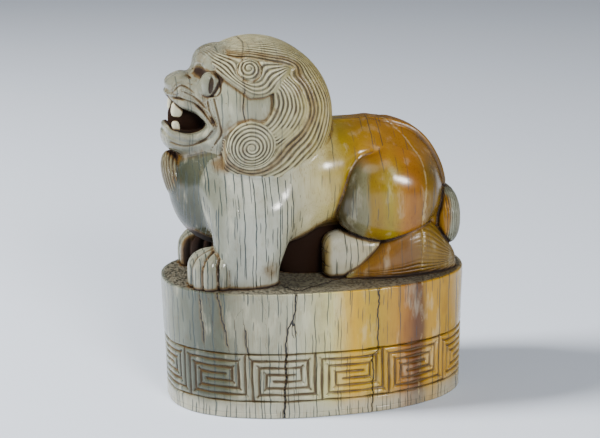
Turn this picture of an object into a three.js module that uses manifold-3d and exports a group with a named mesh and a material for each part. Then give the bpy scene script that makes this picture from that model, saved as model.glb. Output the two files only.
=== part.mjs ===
// A carved seal stamp: a crouching lion on an oval base, with a fret band round the base.
// Millimetres, +Z up. The origin is the middle of the seal face, where the stamp stands.
// The lion faces -X, so its left side is the -Y side. The left and right sides are alike.

import * as THREE from 'three';
import { mergeVertices } from 'three/addons/utils/BufferGeometryUtils.js';
import Module from 'manifold-3d';

const wasm = await Module();
wasm.setup();

// Sizes of the oval base, from the seal face up
const base = {
  halfLength: 31,
  halfWidth: 20.1,
  squareness: 2.3,
  draft: 0.55, // how far the outline draws in at the seal face
  facets: 48,
};
const heights = {
  seal: 1.2,
  foot: 2.4,
  fret: 9.75,
  drum: 12.25,
};

// The band of square spirals cut round the base
const fret = {
  panels: 12,
  firstCorner: 10.5, // distance round the rim, from the +X end, where a panel starts
  facetsEach: 3,
  groove: 0.55,
  depth: { across: 0.5, up: 0.42 },
};
// How far a cutter stands out of the surface that it cuts
const cutterReach = 1;

// The seal face: a rim and raised fret lines in four plain panels
const seal = {
  rim: 1.8,
  margin: 1.6,
  middleBar: 2,
  recess: 0.8,
  line: 0.8,
  field: 0.68, // the fret lines' share of the width and the length inside the rim
};

// Gap between two pieces where one is cut to the shape of the other
const clearance = 0.3;

// How many flat sides stand in for a round form
const sides = {
  ball: 16,
  smallBall: 12,
  toe: 8,
  limb: 14,
  trunk: 18,
  boss: 20,
  fang: 10,
  mane: 32,
};

// Places on the lion are [x, y, height above the base top], and y is out from the middle plane
const from = (origin, offset) => origin.map((value, axis) => value + offset[axis]);

const mane = {
  centre: [-11.2, 0, 32.85],
  radius: 14.75,
  halfWidth: 14.8,
  squareness: 3.2,
};
// The face looks out of this opening in the mane, given round the mane's centre
const faceOpening = [
  [-30, 11.2], [-11, 11.2], [-8, 9.4], [-3.5, 6.4], [-1.8, 6.2], [2, 7.4], [4.4, 7],
  [5.6, 4.2], [5.2, 1.2], [3.8, -1.2], [1.4, -2.6], [-1.5, -4.5], [-3.6, -6.5],
  [-6.6, -9.8], [-8, -15], [-30, -15],
];
// The long lock behind the cheek, from the ear tip to the curl, round the mane's centre
const lock = {
  outline: [
    [5.4, 8.2], [7.3, 6.6], [8.2, 3.9], [7.7, 1.1], [6.5, -1.8], [4.5, -4], [1.9, -5.8],
    [-1.6, -6.6], [-1.8, -3.2], [1, -1.4], [2.9, -0.6], [4.1, 1.4], [4.6, 4.2], [4.3, 6.8],
  ],
  inner: 9,
};
const maneCurl = {
  place: [-2.9, -4.35],
  radius: 4.75,
  inner: 8,
  outer: 15.9,
  rings: 3,
  ringDepth: 0.5,
};
// The brow that sweeps back into the ear tip, round the mane's centre
const brow = {
  outline: [
    [-11.4, 10], [-8.3, 7.9], [-3.7, 5.2], [-1.8, 4.9], [2.3, 6.1], [5.3, 9.6],
    [3.2, 10.9], [0.9, 11.7], [-2.3, 12.5], [-4.9, 12.9], [-7.6, 12.9], [-10.4, 11.8],
  ],
  inner: 5.4,
  relief: 0.5, // how far it stands out of the roundness of the mane
};
const browCurl = {
  place: [-2.7, 10.55],
  radius: 2.2,
  inner: 8,
  outer: 13.3,
  rings: 1,
  ringDepth: 0.35,
};

const skull = from(mane.centre, [-3.3, 0, 2.65]);
const snout = from(skull, [-9.1, 0, 1.2]);
const head = {
  cranium: { centre: skull, half: [9.6, 13.2, 10.2] },
  forehead: { centre: from(skull, [-2.4, 0, 5.4]), half: [6, 8.6, 5.6], squareness: 2.6 },
  cheeks: { centre: from(skull, [2.8, 0, -0.8]), half: [7, 13.6, 8.8], squareness: 3 },
  muzzle: { centre: snout, half: [5.5, 6.6, 4.7], squareness: 2.4 },
};
const eye = { centre: from(skull, [-6.6, 7.2, 4.2]), half: [1.5, 1.7, 1.8] };
const nose = { centre: from(snout, [-3.4, 0, 2.6]), half: [2, 3.7, 2.1] };
const jaw = {
  chin: { centre: from(snout, [0.8, 0, -7.7]), half: [7.2, 7.2, 4], squareness: 2.3 },
  jowl: { centre: from(snout, [6, 0, -7.7]), half: [7, 9.9, 5] },
};
// The open mouth from the side, round the middle of the muzzle
const mouth = {
  outline: [
    [-8, -0.6], [-5.4, -0.6], [-1.7, -2.4], [0.4, -3], [1.8, -4.6], [1.2, -5.9],
    [-2.2, -6.9], [-4.2, -6.3], [-6, -5.1], [-8, -4.6],
  ],
  halfWidth: 12,
};
const upperFang = { place: [-3.8, 3.3, -2.3], radius: 1.05, length: 3.2 };
const lowerFang = { place: [-3.6, 4, -5.7], radius: 0.9, length: 2.6 };
const tongue = { centre: from(snout, [1.2, 0, -4.9]), half: [4.4, 2.4, 2.1] };
const beard = { centre: from(jaw.chin.centre, [-5, 0, -8.1]), half: [3, 4.2, 4.7] };

const chest = { centre: [-17, 0, 18], half: [11.4, 10.6, 11.6] };

// Sections along X: [x, middle height, half width, half height]
const torso = {
  sections: [
    [-9, 20.4, 12.2, 9.9], [-5, 20.3, 12.8, 10.3], [1, 20, 12.9, 10.5], [7, 19.9, 12.4, 10.5],
    [12, 20, 11.9, 10.3],
  ],
};
const rump = {
  sections: [
    [11.6, 15, 11, 15.2], [15, 14.6, 10.6, 15.2], [19, 13.9, 10.4, 14.8], [23, 12.6, 9.8, 13.3],
    [26, 11, 8.6, 11.3], [28.4, 9.6, 6.4, 8.6], [29.4, 9, 3.6, 5.6],
  ],
};
// What the carver left under the belly, between the legs
const bellyCore = { centre: [3, 0, 4], half: [11, 5.4, 7], squareness: 3 };
// The ridge down the middle of the back: [x, height of its crest]
const spine = {
  crest: [
    [3, 30.9], [7.1, 31.1], [11.3, 31.1], [14.8, 30.9], [17.5, 30.3], [20.6, 29], [23.8, 26.6],
    [26.3, 23.4], [28.2, 19.8], [29.5, 16], [29.8, 13.2],
  ],
  depth: 2.2,
  halfWidth: 2.3,
};

// Sections up the leg: [height, x, y, half length, half width]
const foreleg = {
  sections: [
    [-0.8, -14.8, 10.9, 6.2, 4.6], [6.5, -14.3, 10.9, 7, 4.7], [10.5, -13.8, 10.8, 7.7, 4.9],
    [15, -13.4, 10.2, 8.9, 5.4], [19, -13.4, 9, 9.8, 4.8], [22.5, -13.4, 7.4, 9.6, 4],
    [25, -13.4, 6, 8, 3],
  ],
};
const forepaw = {
  pad: { centre: [-19.4, 10.4, 2.2], half: [6.4, 4.6, 4.4] },
  toe: { centre: [-23.9, 9.4, 2], half: [3.1, 1.4, 2.9] },
  toes: 4,
  toePitch: 2.15,
  toeSetback: 0.5,
};

const haunch = { centre: [15.4, 7.6, 16.3], half: [12.1, 6.4, 9.4] };
// Sections along X: [x, middle height, y, half width, half height]
const hindFoot = {
  sections: [
    [0.1, 3.4, 7.6, 2.4, 2.2], [1.4, 3.6, 7.7, 3.5, 3.9], [4, 3.9, 7.8, 3.9, 4.7],
    [9, 4, 8, 3.9, 4.8], [14, 4, 7.8, 3.4, 4.6], [17, 4, 7.4, 2.2, 3],
  ],
};
// Sections along X: [x, middle height, y, half width, half height]
const plume = {
  sections: [
    [5.4, 0.4, 7.4, 0.7, 0.6], [8, 1.2, 7.6, 1.9, 1.8], [11, 2.2, 7.6, 3.1, 3.2],
    [15.4, 4, 7.4, 4.4, 5.2], [18.6, 4.6, 7.2, 4.9, 5.8], [22, 4.2, 6.8, 4.9, 5.4],
    [25.4, 2.8, 6, 4.3, 3.9], [28.6, 1.2, 4.4, 2.6, 1.8],
  ],
};
const tailCurl = {
  centre: [25.4, 0, 9.2],
  radius: 5.3,
  reach: 5.5,
  rings: 2,
  ringDepth: 0.5,
};

const colours = {
  ivory: 0xd6d2c0,
  hair: 0xb9ac88,
  amber: 0xc98f35,
  stain: 0xae6a2b,
  grime: 0x6a4a2c,
  tooth: 0xe6e2d4,
};

const fretTop = heights.seal + heights.foot + heights.fret;
const baseTop = fretTop + heights.drum;

// A closed solid with its faces pointing out, from a closed geometry
function solidOf(geometry) {
  const bare = geometry.clone();
  bare.deleteAttribute('normal');
  bare.deleteAttribute('uv');
  const merged = mergeVertices(bare, 1e-4);
  const place = merged.attributes.position;
  const corners = merged.index.array;
  const kept = [];
  let volume = 0;
  const [a, b, c] = [new THREE.Vector3(), new THREE.Vector3(), new THREE.Vector3()];
  for (let i = 0; i < corners.length; i += 3) {
    const [p, q, r] = corners.slice(i, i + 3);
    if (p === q || q === r || r === p) continue;
    a.fromBufferAttribute(place, p);
    b.fromBufferAttribute(place, q);
    c.fromBufferAttribute(place, r);
    volume += a.dot(b.clone().cross(c));
    kept.push([p, q, r]);
  }
  const facing = volume < 0 ? kept.map(([p, q, r]) => [p, r, q]) : kept;
  return new wasm.Manifold(new wasm.Mesh({
    numProp: 3,
    vertProperties: new Float32Array(place.array),
    triVerts: new Uint32Array(facing.flat()),
  }));
}

function joined(solids) {
  return solids.reduce((whole, solid) => whole.add(solid));
}

function without(solid, cutters) {
  return cutters.reduce((left, cutter) => left.subtract(cutter), solid);
}

// Moves every vertex of a geometry to the place that a function gives for it
function reshaped(geometry, placeOf) {
  const place = geometry.attributes.position;
  for (let i = 0; i < place.count; i += 1) {
    place.setXYZ(i, ...placeOf(place.getX(i), place.getY(i), place.getZ(i)));
  }
  return geometry;
}

// An ellipsoid, or a blockier body where its squareness is over 2; side is 1, or -1 to mirror it
function ball({ centre, half, squareness = 2 }, grow = 0, side = 1, round = sides.ball) {
  const [cx, cy, height] = centre;
  const reach = half.map((size) => size + grow);
  const sphere = new THREE.SphereGeometry(1, round, Math.round(round * 0.6));
  return solidOf(reshaped(sphere, (x, y, z) => {
    const spread = Math.abs(x) ** squareness + Math.abs(y) ** squareness + Math.abs(z) ** squareness;
    const scale = spread ** (-1 / squareness);
    return [
      cx + x * scale * reach[0],
      side * (cy + z * scale * reach[1]),
      baseTop + height + y * scale * reach[2],
    ];
  }));
}

// A body through a row of rings; ringAt gives a ring's point for a direction round it
function ringed(count, round, ringAt) {
  return solidOf(reshaped(new THREE.CylinderGeometry(1, 1, 1, round, count - 1), (x, y, z) => (
    ringAt(Math.round((0.5 - y) * (count - 1)), x, z)
  )));
}

// Rows of numbers made denser along a smooth curve through them
function smoothed(rows, steps) {
  const columns = rows[0].map((_, column) => (
    new THREE.SplineCurve(rows.map((row, i) => new THREE.Vector2(i, row[column])))
  ));
  return Array.from({ length: steps + 1 }, (_, i) => (
    columns.map((curve) => curve.getPoint(i / steps).y)
  ));
}

// An extruded outline in the plane of X and height, from one y to another
function cutOut(points, inner, outer, side = 1) {
  const shape = new THREE.Shape(points.map(([x, height]) => new THREE.Vector2(x, height)));
  const geometry = new THREE.ExtrudeGeometry(shape, { depth: outer - inner, bevelEnabled: false });
  return solidOf(reshaped(geometry, (x, height, depth) => (
    [x, side * (inner + depth), baseTop + height]
  )));
}

// A smooth closed outline through points given round a centre, moved outwards by grow
function outlineRound([cx, , height], points, grow = 0, steps = 0) {
  const corners = steps
    ? new THREE.CatmullRomCurve3(points.map(([x, z]) => new THREE.Vector3(x, z, 0)), true)
      .getPoints(steps).slice(0, -1).map((point) => [point.x, point.y])
    : points;
  const twiceArea = corners.reduce((sum, [x, z], i) => {
    const [nextX, nextZ] = corners[(i + 1) % corners.length];
    return sum + x * nextZ - nextX * z;
  }, 0);
  const outwards = Math.sign(twiceArea) * grow;
  return corners.map(([x, z], i) => {
    const [lastX, lastZ] = corners.at(i - 1);
    const [nextX, nextZ] = corners[(i + 1) % corners.length];
    const along = new THREE.Vector2(nextX - lastX, nextZ - lastZ).normalize();
    return [cx + x + along.y * outwards, height + z - along.x * outwards];
  });
}

const pointsOf = (profile) => profile.map(([across, up]) => new THREE.Vector2(across, up));

// A round boss with raised rings on its face, as a half profile of [radius, height]
function ringedProfile({ radius, rings, ringDepth }, length) {
  const crown = 0.1 * radius;
  const profile = [[0, 0], [radius, 0], [radius, length - crown]];
  for (let ring = rings; ring > 0; ring -= 1) {
    const middle = radius * (ring - 0.15) / (rings + 0.5);
    const foot = radius * (ring - 0.55) / (rings + 0.5);
    const rise = length - crown * (middle / radius) ** 2;
    profile.push([middle, rise], [foot, rise - ringDepth]);
  }
  profile.push([0, length]);
  return pointsOf(profile);
}

// The plain drum that goes round a boss, with room for it on every side
function drumProfile({ radius }, length, grow) {
  const wide = radius + grow;
  return pointsOf([[0, -grow], [wide, -grow], [wide, length + grow], [0, length + grow]]);
}

function bossProfile(size, length, grow) {
  return grow ? drumProfile(size, length, grow) : ringedProfile(size, length);
}

// The rim of the base: a closed curve, measured by distance from the +X end
const rim = new THREE.CatmullRomCurve3(
  Array.from({ length: 4 * base.facets }, (_, i) => {
    const turn = (2 * Math.PI * i) / (4 * base.facets);
    const bend = (value, size) => size * Math.sign(value) * Math.abs(value) ** (2 / base.squareness);
    return new THREE.Vector3(
      bend(Math.cos(turn), base.halfLength),
      bend(Math.sin(turn), base.halfWidth),
      0,
    );
  }),
  true,
);
rim.arcLengthDivisions = 8 * base.facets;
const rimLength = rim.getLength();

// A point on the base's side: share of the way round, height, and distance in from the surface
function onBase(share, height, inset = 0) {
  const round = share - Math.floor(share);
  const point = rim.getPointAt(round);
  const along = rim.getTangentAt(round);
  const inwards = inset + base.draft * (1 - height / baseTop);
  return [point.x - along.y * inwards, point.y + along.x * inwards, height];
}

function oval(low, high, inset = 0, facets = base.facets) {
  return ringed(2, facets, (ring, x, z) => {
    const height = ring ? low : high;
    const share = Math.atan2(z, x) / (2 * Math.PI);
    return Math.hypot(x, z) < 0.5 ? [0, 0, height] : onBase(share, height, inset);
  });
}

// The two square spirals of one fret panel, by their corners in steps across and up
const fretGrid = { across: 10, up: 7 };
const fretSpirals = [
  [[1, 0], [1, 6], [9, 6], [9, 2], [3, 2], [3, 4], [7, 4]],
  [[10, 7], [10, 1], [2, 1], [2, 5], [8, 5], [8, 3], [4, 3]],
];
const fretStrokes = fretSpirals.flatMap((corners) => (
  corners.slice(1).map((corner, i) => [corners[i], corner])
));

// The strokes of one panel: strokeBox gives the solid between two corners in steps. A stroke
// across runs past its ends by half its width, and a stroke up ends inside the strokes across.
function fretPanel(strokeBox) {
  return fretStrokes.map(([[startX, startY], [endX, endY]]) => {
    const isAcross = startY === endY;
    const low = [Math.min(startX, endX), Math.min(startY, endY)];
    const high = [Math.max(startX, endX), Math.max(startY, endY)];
    return strokeBox(low, high, isAcross);
  });
}

function fretBand() {
  const facets = fret.panels * fret.facetsEach;
  const low = heights.seal + heights.foot;
  const turn = fret.firstCorner / rimLength;
  const block = ringed(2, facets, (ring, x, z) => {
    const height = ring ? low : fretTop;
    const share = turn + Math.atan2(z, x) / (2 * Math.PI);
    return Math.hypot(x, z) < 0.5 ? [0, 0, height] : onBase(share, height);
  });
  const widen = fret.groove / 2;
  const stepUp = heights.fret / fretGrid.up;
  const stepShare = 1 / (fret.panels * fretGrid.across);
  const widenShare = widen / rimLength;
  const cutters = Array.from({ length: fret.panels }, (_, panel) => (
    fretPanel(([left, lower], [right, upper], isAcross) => {
      const steps = Math.max(1, Math.round((right - left) * (fret.facetsEach / fretGrid.across)));
      const box = new THREE.BoxGeometry(1, 1, 1, steps, 1, 1);
      const start = turn + panel / fret.panels + left * stepShare - widenShare;
      const end = turn + panel / fret.panels + right * stepShare + widenShare;
      const beyond = isAcross ? widen : 0;
      const bottom = low + lower * stepUp - beyond;
      const top = low + upper * stepUp + beyond;
      const depth = isAcross ? fret.depth.across : fret.depth.up;
      return solidOf(reshaped(box, (x, y, z) => onBase(
        THREE.MathUtils.lerp(start, end, x + 0.5),
        THREE.MathUtils.lerp(bottom, top, z + 0.5),
        THREE.MathUtils.lerp(-cutterReach, depth, y + 0.5),
      )));
    })
  ));
  return without(block, cutters.flat());
}

function sealFace() {
  const body = oval(0, heights.seal);
  const recess = oval(-cutterReach, seal.recess, seal.rim);
  const bar = seal.middleBar / 2;
  const fieldLength = (base.halfLength - seal.rim - seal.margin) * seal.field;
  const fieldWidth = (base.halfWidth - seal.rim - seal.margin) * seal.field;
  const panel = { length: fieldLength, width: fieldWidth - bar };
  const box = (x0, x1, y0, y1) => solidOf(
    new THREE.BoxGeometry(x1 - x0, y1 - y0, 4 * heights.seal)
      .translate((x0 + x1) / 2, (y0 + y1) / 2, 0),
  );
  const middle = box(-base.halfLength, base.halfLength, -bar, bar);
  const widen = seal.line / 2;
  const stepX = panel.length / fretGrid.across;
  const stepY = panel.width / fretGrid.up;
  const lines = [-1, 0].flatMap((column) => [-1, 1].flatMap((row) => (
    fretPanel(([left, lower], [right, upper], isAcross) => {
      const beyond = isAcross ? widen : 0;
      const ys = [bar + lower * stepY - beyond, bar + upper * stepY + beyond].map((y) => row * y);
      return box(
        column * panel.length + left * stepX - widen,
        column * panel.length + right * stepX + widen,
        Math.min(...ys),
        Math.max(...ys),
      );
    })
  )));
  return body.subtract(without(recess, [middle, ...lines]));
}

// The whole mane, round about a level axis, so its profile is [radius, y]
function maneRound(grow = 0) {
  const steps = 6;
  const profile = Array.from({ length: 2 * steps + 1 }, (_, i) => {
    const turn = (Math.PI * i) / (2 * steps) - Math.PI / 2;
    const bend = (value) => Math.sign(value) * Math.abs(value) ** (2 / mane.squareness);
    const across = (mane.radius + grow) * Math.abs(bend(Math.cos(turn)));
    const y = (mane.halfWidth + grow) * bend(Math.sin(turn));
    return new THREE.Vector2(i % (2 * steps) ? across : 0, y);
  });
  const [cx, , height] = mane.centre;
  return solidOf(new THREE.LatheGeometry(profile, sides.mane).translate(cx, 0, baseTop + height));
}

function maneCap(grow = 0) {
  const opening = outlineRound(mane.centre, faceOpening, -grow);
  const reach = 2 * mane.halfWidth;
  return maneRound(grow).subtract(cutOut(opening, -reach, reach));
}

function boss(size, side, grow = 0) {
  const [cx, , height] = mane.centre;
  const [x, z] = size.place;
  const profile = bossProfile(size, size.outer - size.inner, grow);
  return solidOf(reshaped(new THREE.LatheGeometry(profile, sides.boss), (a, up, b) => (
    [cx + x + a, side * (size.inner + up), baseTop + height + z + b]
  )));
}

// A raised patch of hair, cut from a rounded body by its outline in the side view
function hairPatch({ outline, inner }, body, side, grow) {
  const smoothOutline = outlineRound(mane.centre, outline, grow, 2 * outline.length);
  return body.intersect(cutOut(smoothOutline, inner - grow, 2 * mane.halfWidth, side));
}

function lockForm(side, grow = 0) {
  return hairPatch(lock, maneRound(grow), side, grow);
}

function browForm(side, grow = 0) {
  return hairPatch(brow, maneRound(brow.relief + grow), side, grow);
}

function tailBoss(grow = 0) {
  const [cx, , height] = tailCurl.centre;
  const profile = bossProfile(tailCurl, tailCurl.reach, grow);
  return solidOf(reshaped(new THREE.LatheGeometry(profile, sides.boss), (a, up, b) => (
    [cx + up, a, baseTop + height + b]
  )));
}

function bodyAlongX(sections, steps, grow = 0) {
  const rings = smoothed(sections, steps);
  return ringed(rings.length, sides.trunk, (i, a, b) => {
    const [x, height, halfWidth, halfHeight] = rings[i];
    const beyond = i === 0 ? -grow : (i === rings.length - 1) * grow;
    return [x + beyond, a * (halfWidth + grow), baseTop + height + b * (halfHeight + grow)];
  });
}

function forelegForm(side, grow = 0) {
  const rings = smoothed(foreleg.sections, 7);
  return ringed(rings.length, sides.limb, (i, a, b) => {
    const [height, x, y, halfLength, halfWidth] = rings[i];
    return [x + a * (halfLength + grow), side * (y + b * (halfWidth + grow)), baseTop + height];
  });
}

function forepawForm(side) {
  const toes = Array.from({ length: forepaw.toes }, (_, i) => {
    const fromMiddle = i - (forepaw.toes - 1) / 2;
    const [x, y, height] = forepaw.toe.centre;
    const setback = forepaw.toeSetback * fromMiddle ** 2;
    const centre = [x + setback, y + fromMiddle * forepaw.toePitch, height];
    return ball({ ...forepaw.toe, centre }, 0, side, sides.toe);
  });
  return joined([ball(forepaw.pad, 0, side), ...toes]);
}

// A body at one side of the lion, by its sections along X
function sideBody(sections, side, steps, grow = 0) {
  const rings = smoothed(sections, steps);
  return ringed(rings.length, sides.limb, (i, a, b) => {
    const [x, height, y, halfWidth, halfHeight] = rings[i];
    const beyond = i === 0 ? -grow : (i === rings.length - 1) * grow;
    return [
      x + beyond,
      side * (y + a * (halfWidth + grow)),
      baseTop + height + b * (halfHeight + grow),
    ];
  });
}

const hindFootForm = (side, grow) => sideBody(hindFoot.sections, side, 6, grow);
const plumeForm = (side, grow) => sideBody(plume.sections, side, 8, grow);

function spineForm(grow = 0) {
  const crest = smoothed(spine.crest, 11);
  const under = crest.map(([x, height], i) => {
    const [lastX, lastHeight] = crest[Math.max(i - 1, 0)];
    const [nextX, nextHeight] = crest[Math.min(i + 1, crest.length - 1)];
    const along = new THREE.Vector2(nextX - lastX, nextHeight - lastHeight).normalize();
    return [x + along.y * spine.depth, height - along.x * spine.depth];
  });
  const outline = outlineRound([0, 0, 0], [...under, ...crest.reverse()], grow);
  const halfWidth = spine.halfWidth + grow;
  return cutOut(outline, -halfWidth, halfWidth);
}

function mouthCut() {
  const outline = outlineRound(head.muzzle.centre, mouth.outline);
  return cutOut(outline, -mouth.halfWidth, mouth.halfWidth);
}

// A fang is a cone with its root in the jaw; points is 1 for up, -1 for down
function fang(size, points, side, grow = 0) {
  const [x, y, height] = size.place.map((offset, axis) => offset + head.muzzle.centre[axis]);
  const profile = [
    [0, 0], [size.radius, 0], [size.radius * 0.9, size.length * 0.5],
    [size.radius * 0.45, size.length * 0.9], [0, size.length],
  ].map(([across, up]) => new THREE.Vector2(across && across + grow, up ? up + grow : -grow));
  return solidOf(reshaped(new THREE.LatheGeometry(profile, sides.fang), (a, up, b) => (
    [x + a, side * (y + b), baseTop + height + points * (up - size.length / 2)]
  )));
}

const bothSides = { left: -1, right: 1 };
const onEachSide = (make) => Object.values(bothSides).map(make);

// Cutters, each grown by the clearance
const under = solidOf(new THREE.BoxGeometry(4 * base.halfLength, 4 * base.halfWidth, 2 * baseTop));
const around = {
  mane: maneCap(clearance),
  maneCurls: onEachSide((side) => boss(maneCurl, side, clearance)),
  browCurls: onEachSide((side) => boss(browCurl, side, clearance)),
  locks: onEachSide((side) => lockForm(side, clearance)),
  brows: onEachSide((side) => browForm(side, clearance)),
  cranium: ball(head.cranium, clearance),
  cheeks: ball(head.cheeks, clearance),
  muzzle: ball(head.muzzle, clearance),
  eyes: onEachSide((side) => ball(eye, clearance, side, sides.smallBall)),
  nose: ball(nose, clearance),
  upperFangs: onEachSide((side) => fang(upperFang, -1, side, clearance)),
  lowerFangs: onEachSide((side) => fang(lowerFang, 1, side, clearance)),
  tongue: ball(tongue, clearance),
  chin: ball(jaw.chin, clearance),
  jowl: ball(jaw.jowl, clearance),
  beard: ball(beard, clearance),
  chest: ball(chest, clearance),
  forelegs: onEachSide((side) => forelegForm(side, clearance)),
  torso: bodyAlongX(torso.sections, 7, clearance),
  rump: bodyAlongX(rump.sections, 7, clearance),
  hindFeet: onEachSide((side) => hindFootForm(side, clearance)),
  plumes: onEachSide((side) => plumeForm(side, clearance)),
  tailCurl: tailBoss(clearance),
  spine: spineForm(clearance),
};

const hairDressing = [...around.maneCurls, ...around.browCurls, ...around.locks, ...around.brows];

const pieces = {
  seal_face: [sealFace(), colours.ivory],
  base_foot: [oval(heights.seal, heights.seal + heights.foot), colours.ivory],
  fret_band: [fretBand(), colours.ivory],
  base_drum: [oval(fretTop, baseTop), colours.ivory],
  mane: [without(maneCap(), hairDressing), colours.hair],
  head: [
    without(joined([
      ball(head.cranium), ball(head.forehead), ball(head.cheeks), ball(head.muzzle),
    ]), [
      mouthCut(), around.mane, ...hairDressing, ...around.eyes, around.nose, ...around.upperFangs,
    ]),
    colours.ivory,
  ],
  lower_jaw: [
    without(joined([ball(jaw.chin), ball(jaw.jowl)]), [
      mouthCut(), around.cranium, around.cheeks, around.muzzle, around.mane,
      ...around.maneCurls, ...around.lowerFangs, around.tongue,
    ]),
    colours.ivory,
  ],
  nose: [ball(nose), colours.ivory],
  tongue: [without(ball(tongue), [around.cranium, around.muzzle]), colours.grime],
  beard_tuft: [without(ball(beard), [around.chin]), colours.grime],
  chest: [
    without(ball(chest), [
      around.cranium, around.cheeks, around.chin, around.jowl, around.mane,
      ...around.maneCurls, around.beard, ...around.forelegs,
    ]),
    colours.ivory,
  ],
  torso: [
    without(bodyAlongX(torso.sections, 7), [
      around.chest, around.mane, around.rump, ...around.forelegs, ...around.hindFeet,
      around.spine,
    ]),
    colours.amber,
  ],
  rump: [
    without(bodyAlongX(rump.sections, 7), [under, around.tailCurl, around.spine]),
    colours.amber,
  ],
  belly_core: [
    without(ball(bellyCore), [
      under, around.chest, around.torso, around.rump, ...around.forelegs, ...around.hindFeet,
      ...around.plumes,
    ]),
    colours.grime,
  ],
  spine_ridge: [without(spineForm(), [around.mane, around.tailCurl]), colours.amber],
  tail_curl: [tailBoss(), colours.amber],
};

for (const [name, side] of Object.entries(bothSides)) {
  pieces[`${name}_brow`] = [
    without(browForm(side), [...around.browCurls, ...around.eyes]),
    colours.hair,
  ];
  pieces[`${name}_brow_curl`] = [boss(browCurl, side), colours.hair];
  pieces[`${name}_mane_lock`] = [
    without(lockForm(side), [...around.maneCurls, ...around.brows]),
    colours.hair,
  ];
  pieces[`${name}_mane_curl`] = [boss(maneCurl, side), colours.hair];
  pieces[`${name}_eye`] = [ball(eye, 0, side, sides.smallBall), colours.ivory];
  pieces[`${name}_upper_fang`] = [fang(upperFang, -1, side), colours.tooth];
  pieces[`${name}_lower_fang`] = [fang(lowerFang, 1, side), colours.tooth];
  pieces[`${name}_foreleg`] = [
    without(forelegForm(side), [
      under, around.mane, ...around.locks, ...around.maneCurls, around.chin, around.jowl,
      around.cranium, around.cheeks,
    ]),
    colours.ivory,
  ];
  pieces[`${name}_forepaw`] = [
    without(forepawForm(side), [under, ...around.forelegs]),
    colours.ivory,
  ];
  pieces[`${name}_haunch`] = [
    without(ball(haunch, 0, side, sides.boss), [
      around.torso, around.rump, ...around.hindFeet, ...around.plumes,
    ]),
    colours.amber,
  ];
  pieces[`${name}_hind_foot`] = [
    without(hindFootForm(side), [under, around.rump, ...around.plumes]),
    colours.ivory,
  ];
  pieces[`${name}_tail_plume`] = [
    without(plumeForm(side), [under, around.rump, around.tailCurl]),
    colours.stain,
  ];
}

function meshOf(name, solid, colour) {
  const { vertProperties, triVerts } = solid.getMesh();
  const geometry = new THREE.BufferGeometry();
  geometry.setAttribute('position', new THREE.BufferAttribute(vertProperties, 3));
  geometry.setIndex(new THREE.BufferAttribute(triVerts, 1));
  geometry.computeVertexNormals();
  const material = new THREE.MeshStandardMaterial({ color: colour, roughness: 0.35, metalness: 0 });
  const mesh = new THREE.Mesh(geometry, material);
  mesh.name = name;
  return mesh;
}

const sealStamp = new THREE.Group();
for (const [name, [solid, colour]] of Object.entries(pieces)) {
  sealStamp.add(meshOf(name, solid, colour));
}

export default sealStamp;
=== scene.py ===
"""A carved ivory seal stamp: a crouching lion on an oval base with a band of square spirals.

The lion is one carved body. Its forms are distances in millimetres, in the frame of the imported
part, and each named piece is the stretch of that body's surface that its own forms lie nearest
to, so the pieces run into each other without a seam. The hair, the fret and the cracks are
carved into the surface itself.
"""

import logging
import math
from dataclasses import dataclass, field
from enum import Enum
from typing import Callable, Mapping, Optional, Sequence, Union

import bpy
import numpy as np
from mathutils import Matrix, Vector


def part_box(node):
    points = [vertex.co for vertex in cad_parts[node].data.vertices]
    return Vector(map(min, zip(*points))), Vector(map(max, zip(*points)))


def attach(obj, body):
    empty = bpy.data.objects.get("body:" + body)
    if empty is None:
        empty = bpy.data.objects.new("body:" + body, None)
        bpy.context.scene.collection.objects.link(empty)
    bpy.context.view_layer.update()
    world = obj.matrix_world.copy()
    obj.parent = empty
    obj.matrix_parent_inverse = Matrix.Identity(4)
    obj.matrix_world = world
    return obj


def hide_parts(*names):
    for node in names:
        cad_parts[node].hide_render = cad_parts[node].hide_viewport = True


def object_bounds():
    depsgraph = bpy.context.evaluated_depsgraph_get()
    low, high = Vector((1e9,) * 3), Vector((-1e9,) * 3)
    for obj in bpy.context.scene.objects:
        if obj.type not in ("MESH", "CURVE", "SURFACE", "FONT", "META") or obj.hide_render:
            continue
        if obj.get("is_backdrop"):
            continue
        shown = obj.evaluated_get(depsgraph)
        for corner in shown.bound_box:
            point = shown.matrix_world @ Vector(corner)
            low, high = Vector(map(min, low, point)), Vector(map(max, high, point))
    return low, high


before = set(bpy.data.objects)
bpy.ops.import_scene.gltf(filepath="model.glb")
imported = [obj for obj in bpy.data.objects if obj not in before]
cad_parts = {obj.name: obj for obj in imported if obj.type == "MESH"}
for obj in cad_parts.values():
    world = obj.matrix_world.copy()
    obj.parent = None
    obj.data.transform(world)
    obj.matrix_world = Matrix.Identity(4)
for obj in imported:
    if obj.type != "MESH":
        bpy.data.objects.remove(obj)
CAD_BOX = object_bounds()

log = logging.getLogger("seal_stamp")

Array = np.ndarray
Size = Union[float, Array]
Point2 = tuple[float, float]
Point3 = tuple[float, float, float]
Colour = tuple[float, float, float]

MM = 0.001
FAR = 60.0  # stands for a distance that's too far to matter
UNCUT = 9.0  # painted where no cut line comes near
HAIR_PIECES = ("mane", "brow", "brow_curl", "mane_lock", "mane_curl")


def corners(node: str) -> tuple[Array, Array]:
    """Lowest and highest corner of a CAD node in millimetres."""
    low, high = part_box(node)
    return np.array(low) / MM, np.array(high) / MM


STAND = float(corners("base_drum")[1][2])  # height of the base top, where the lion sits


def on_block(column: int, *rows: tuple[float, ...]) -> tuple[tuple[float, ...], ...]:
    """Rows of numbers whose heights, all in one column, are counted from the base top."""
    return tuple(row[:column] + (STAND + row[column],) + row[column + 1:] for row in rows)


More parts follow.
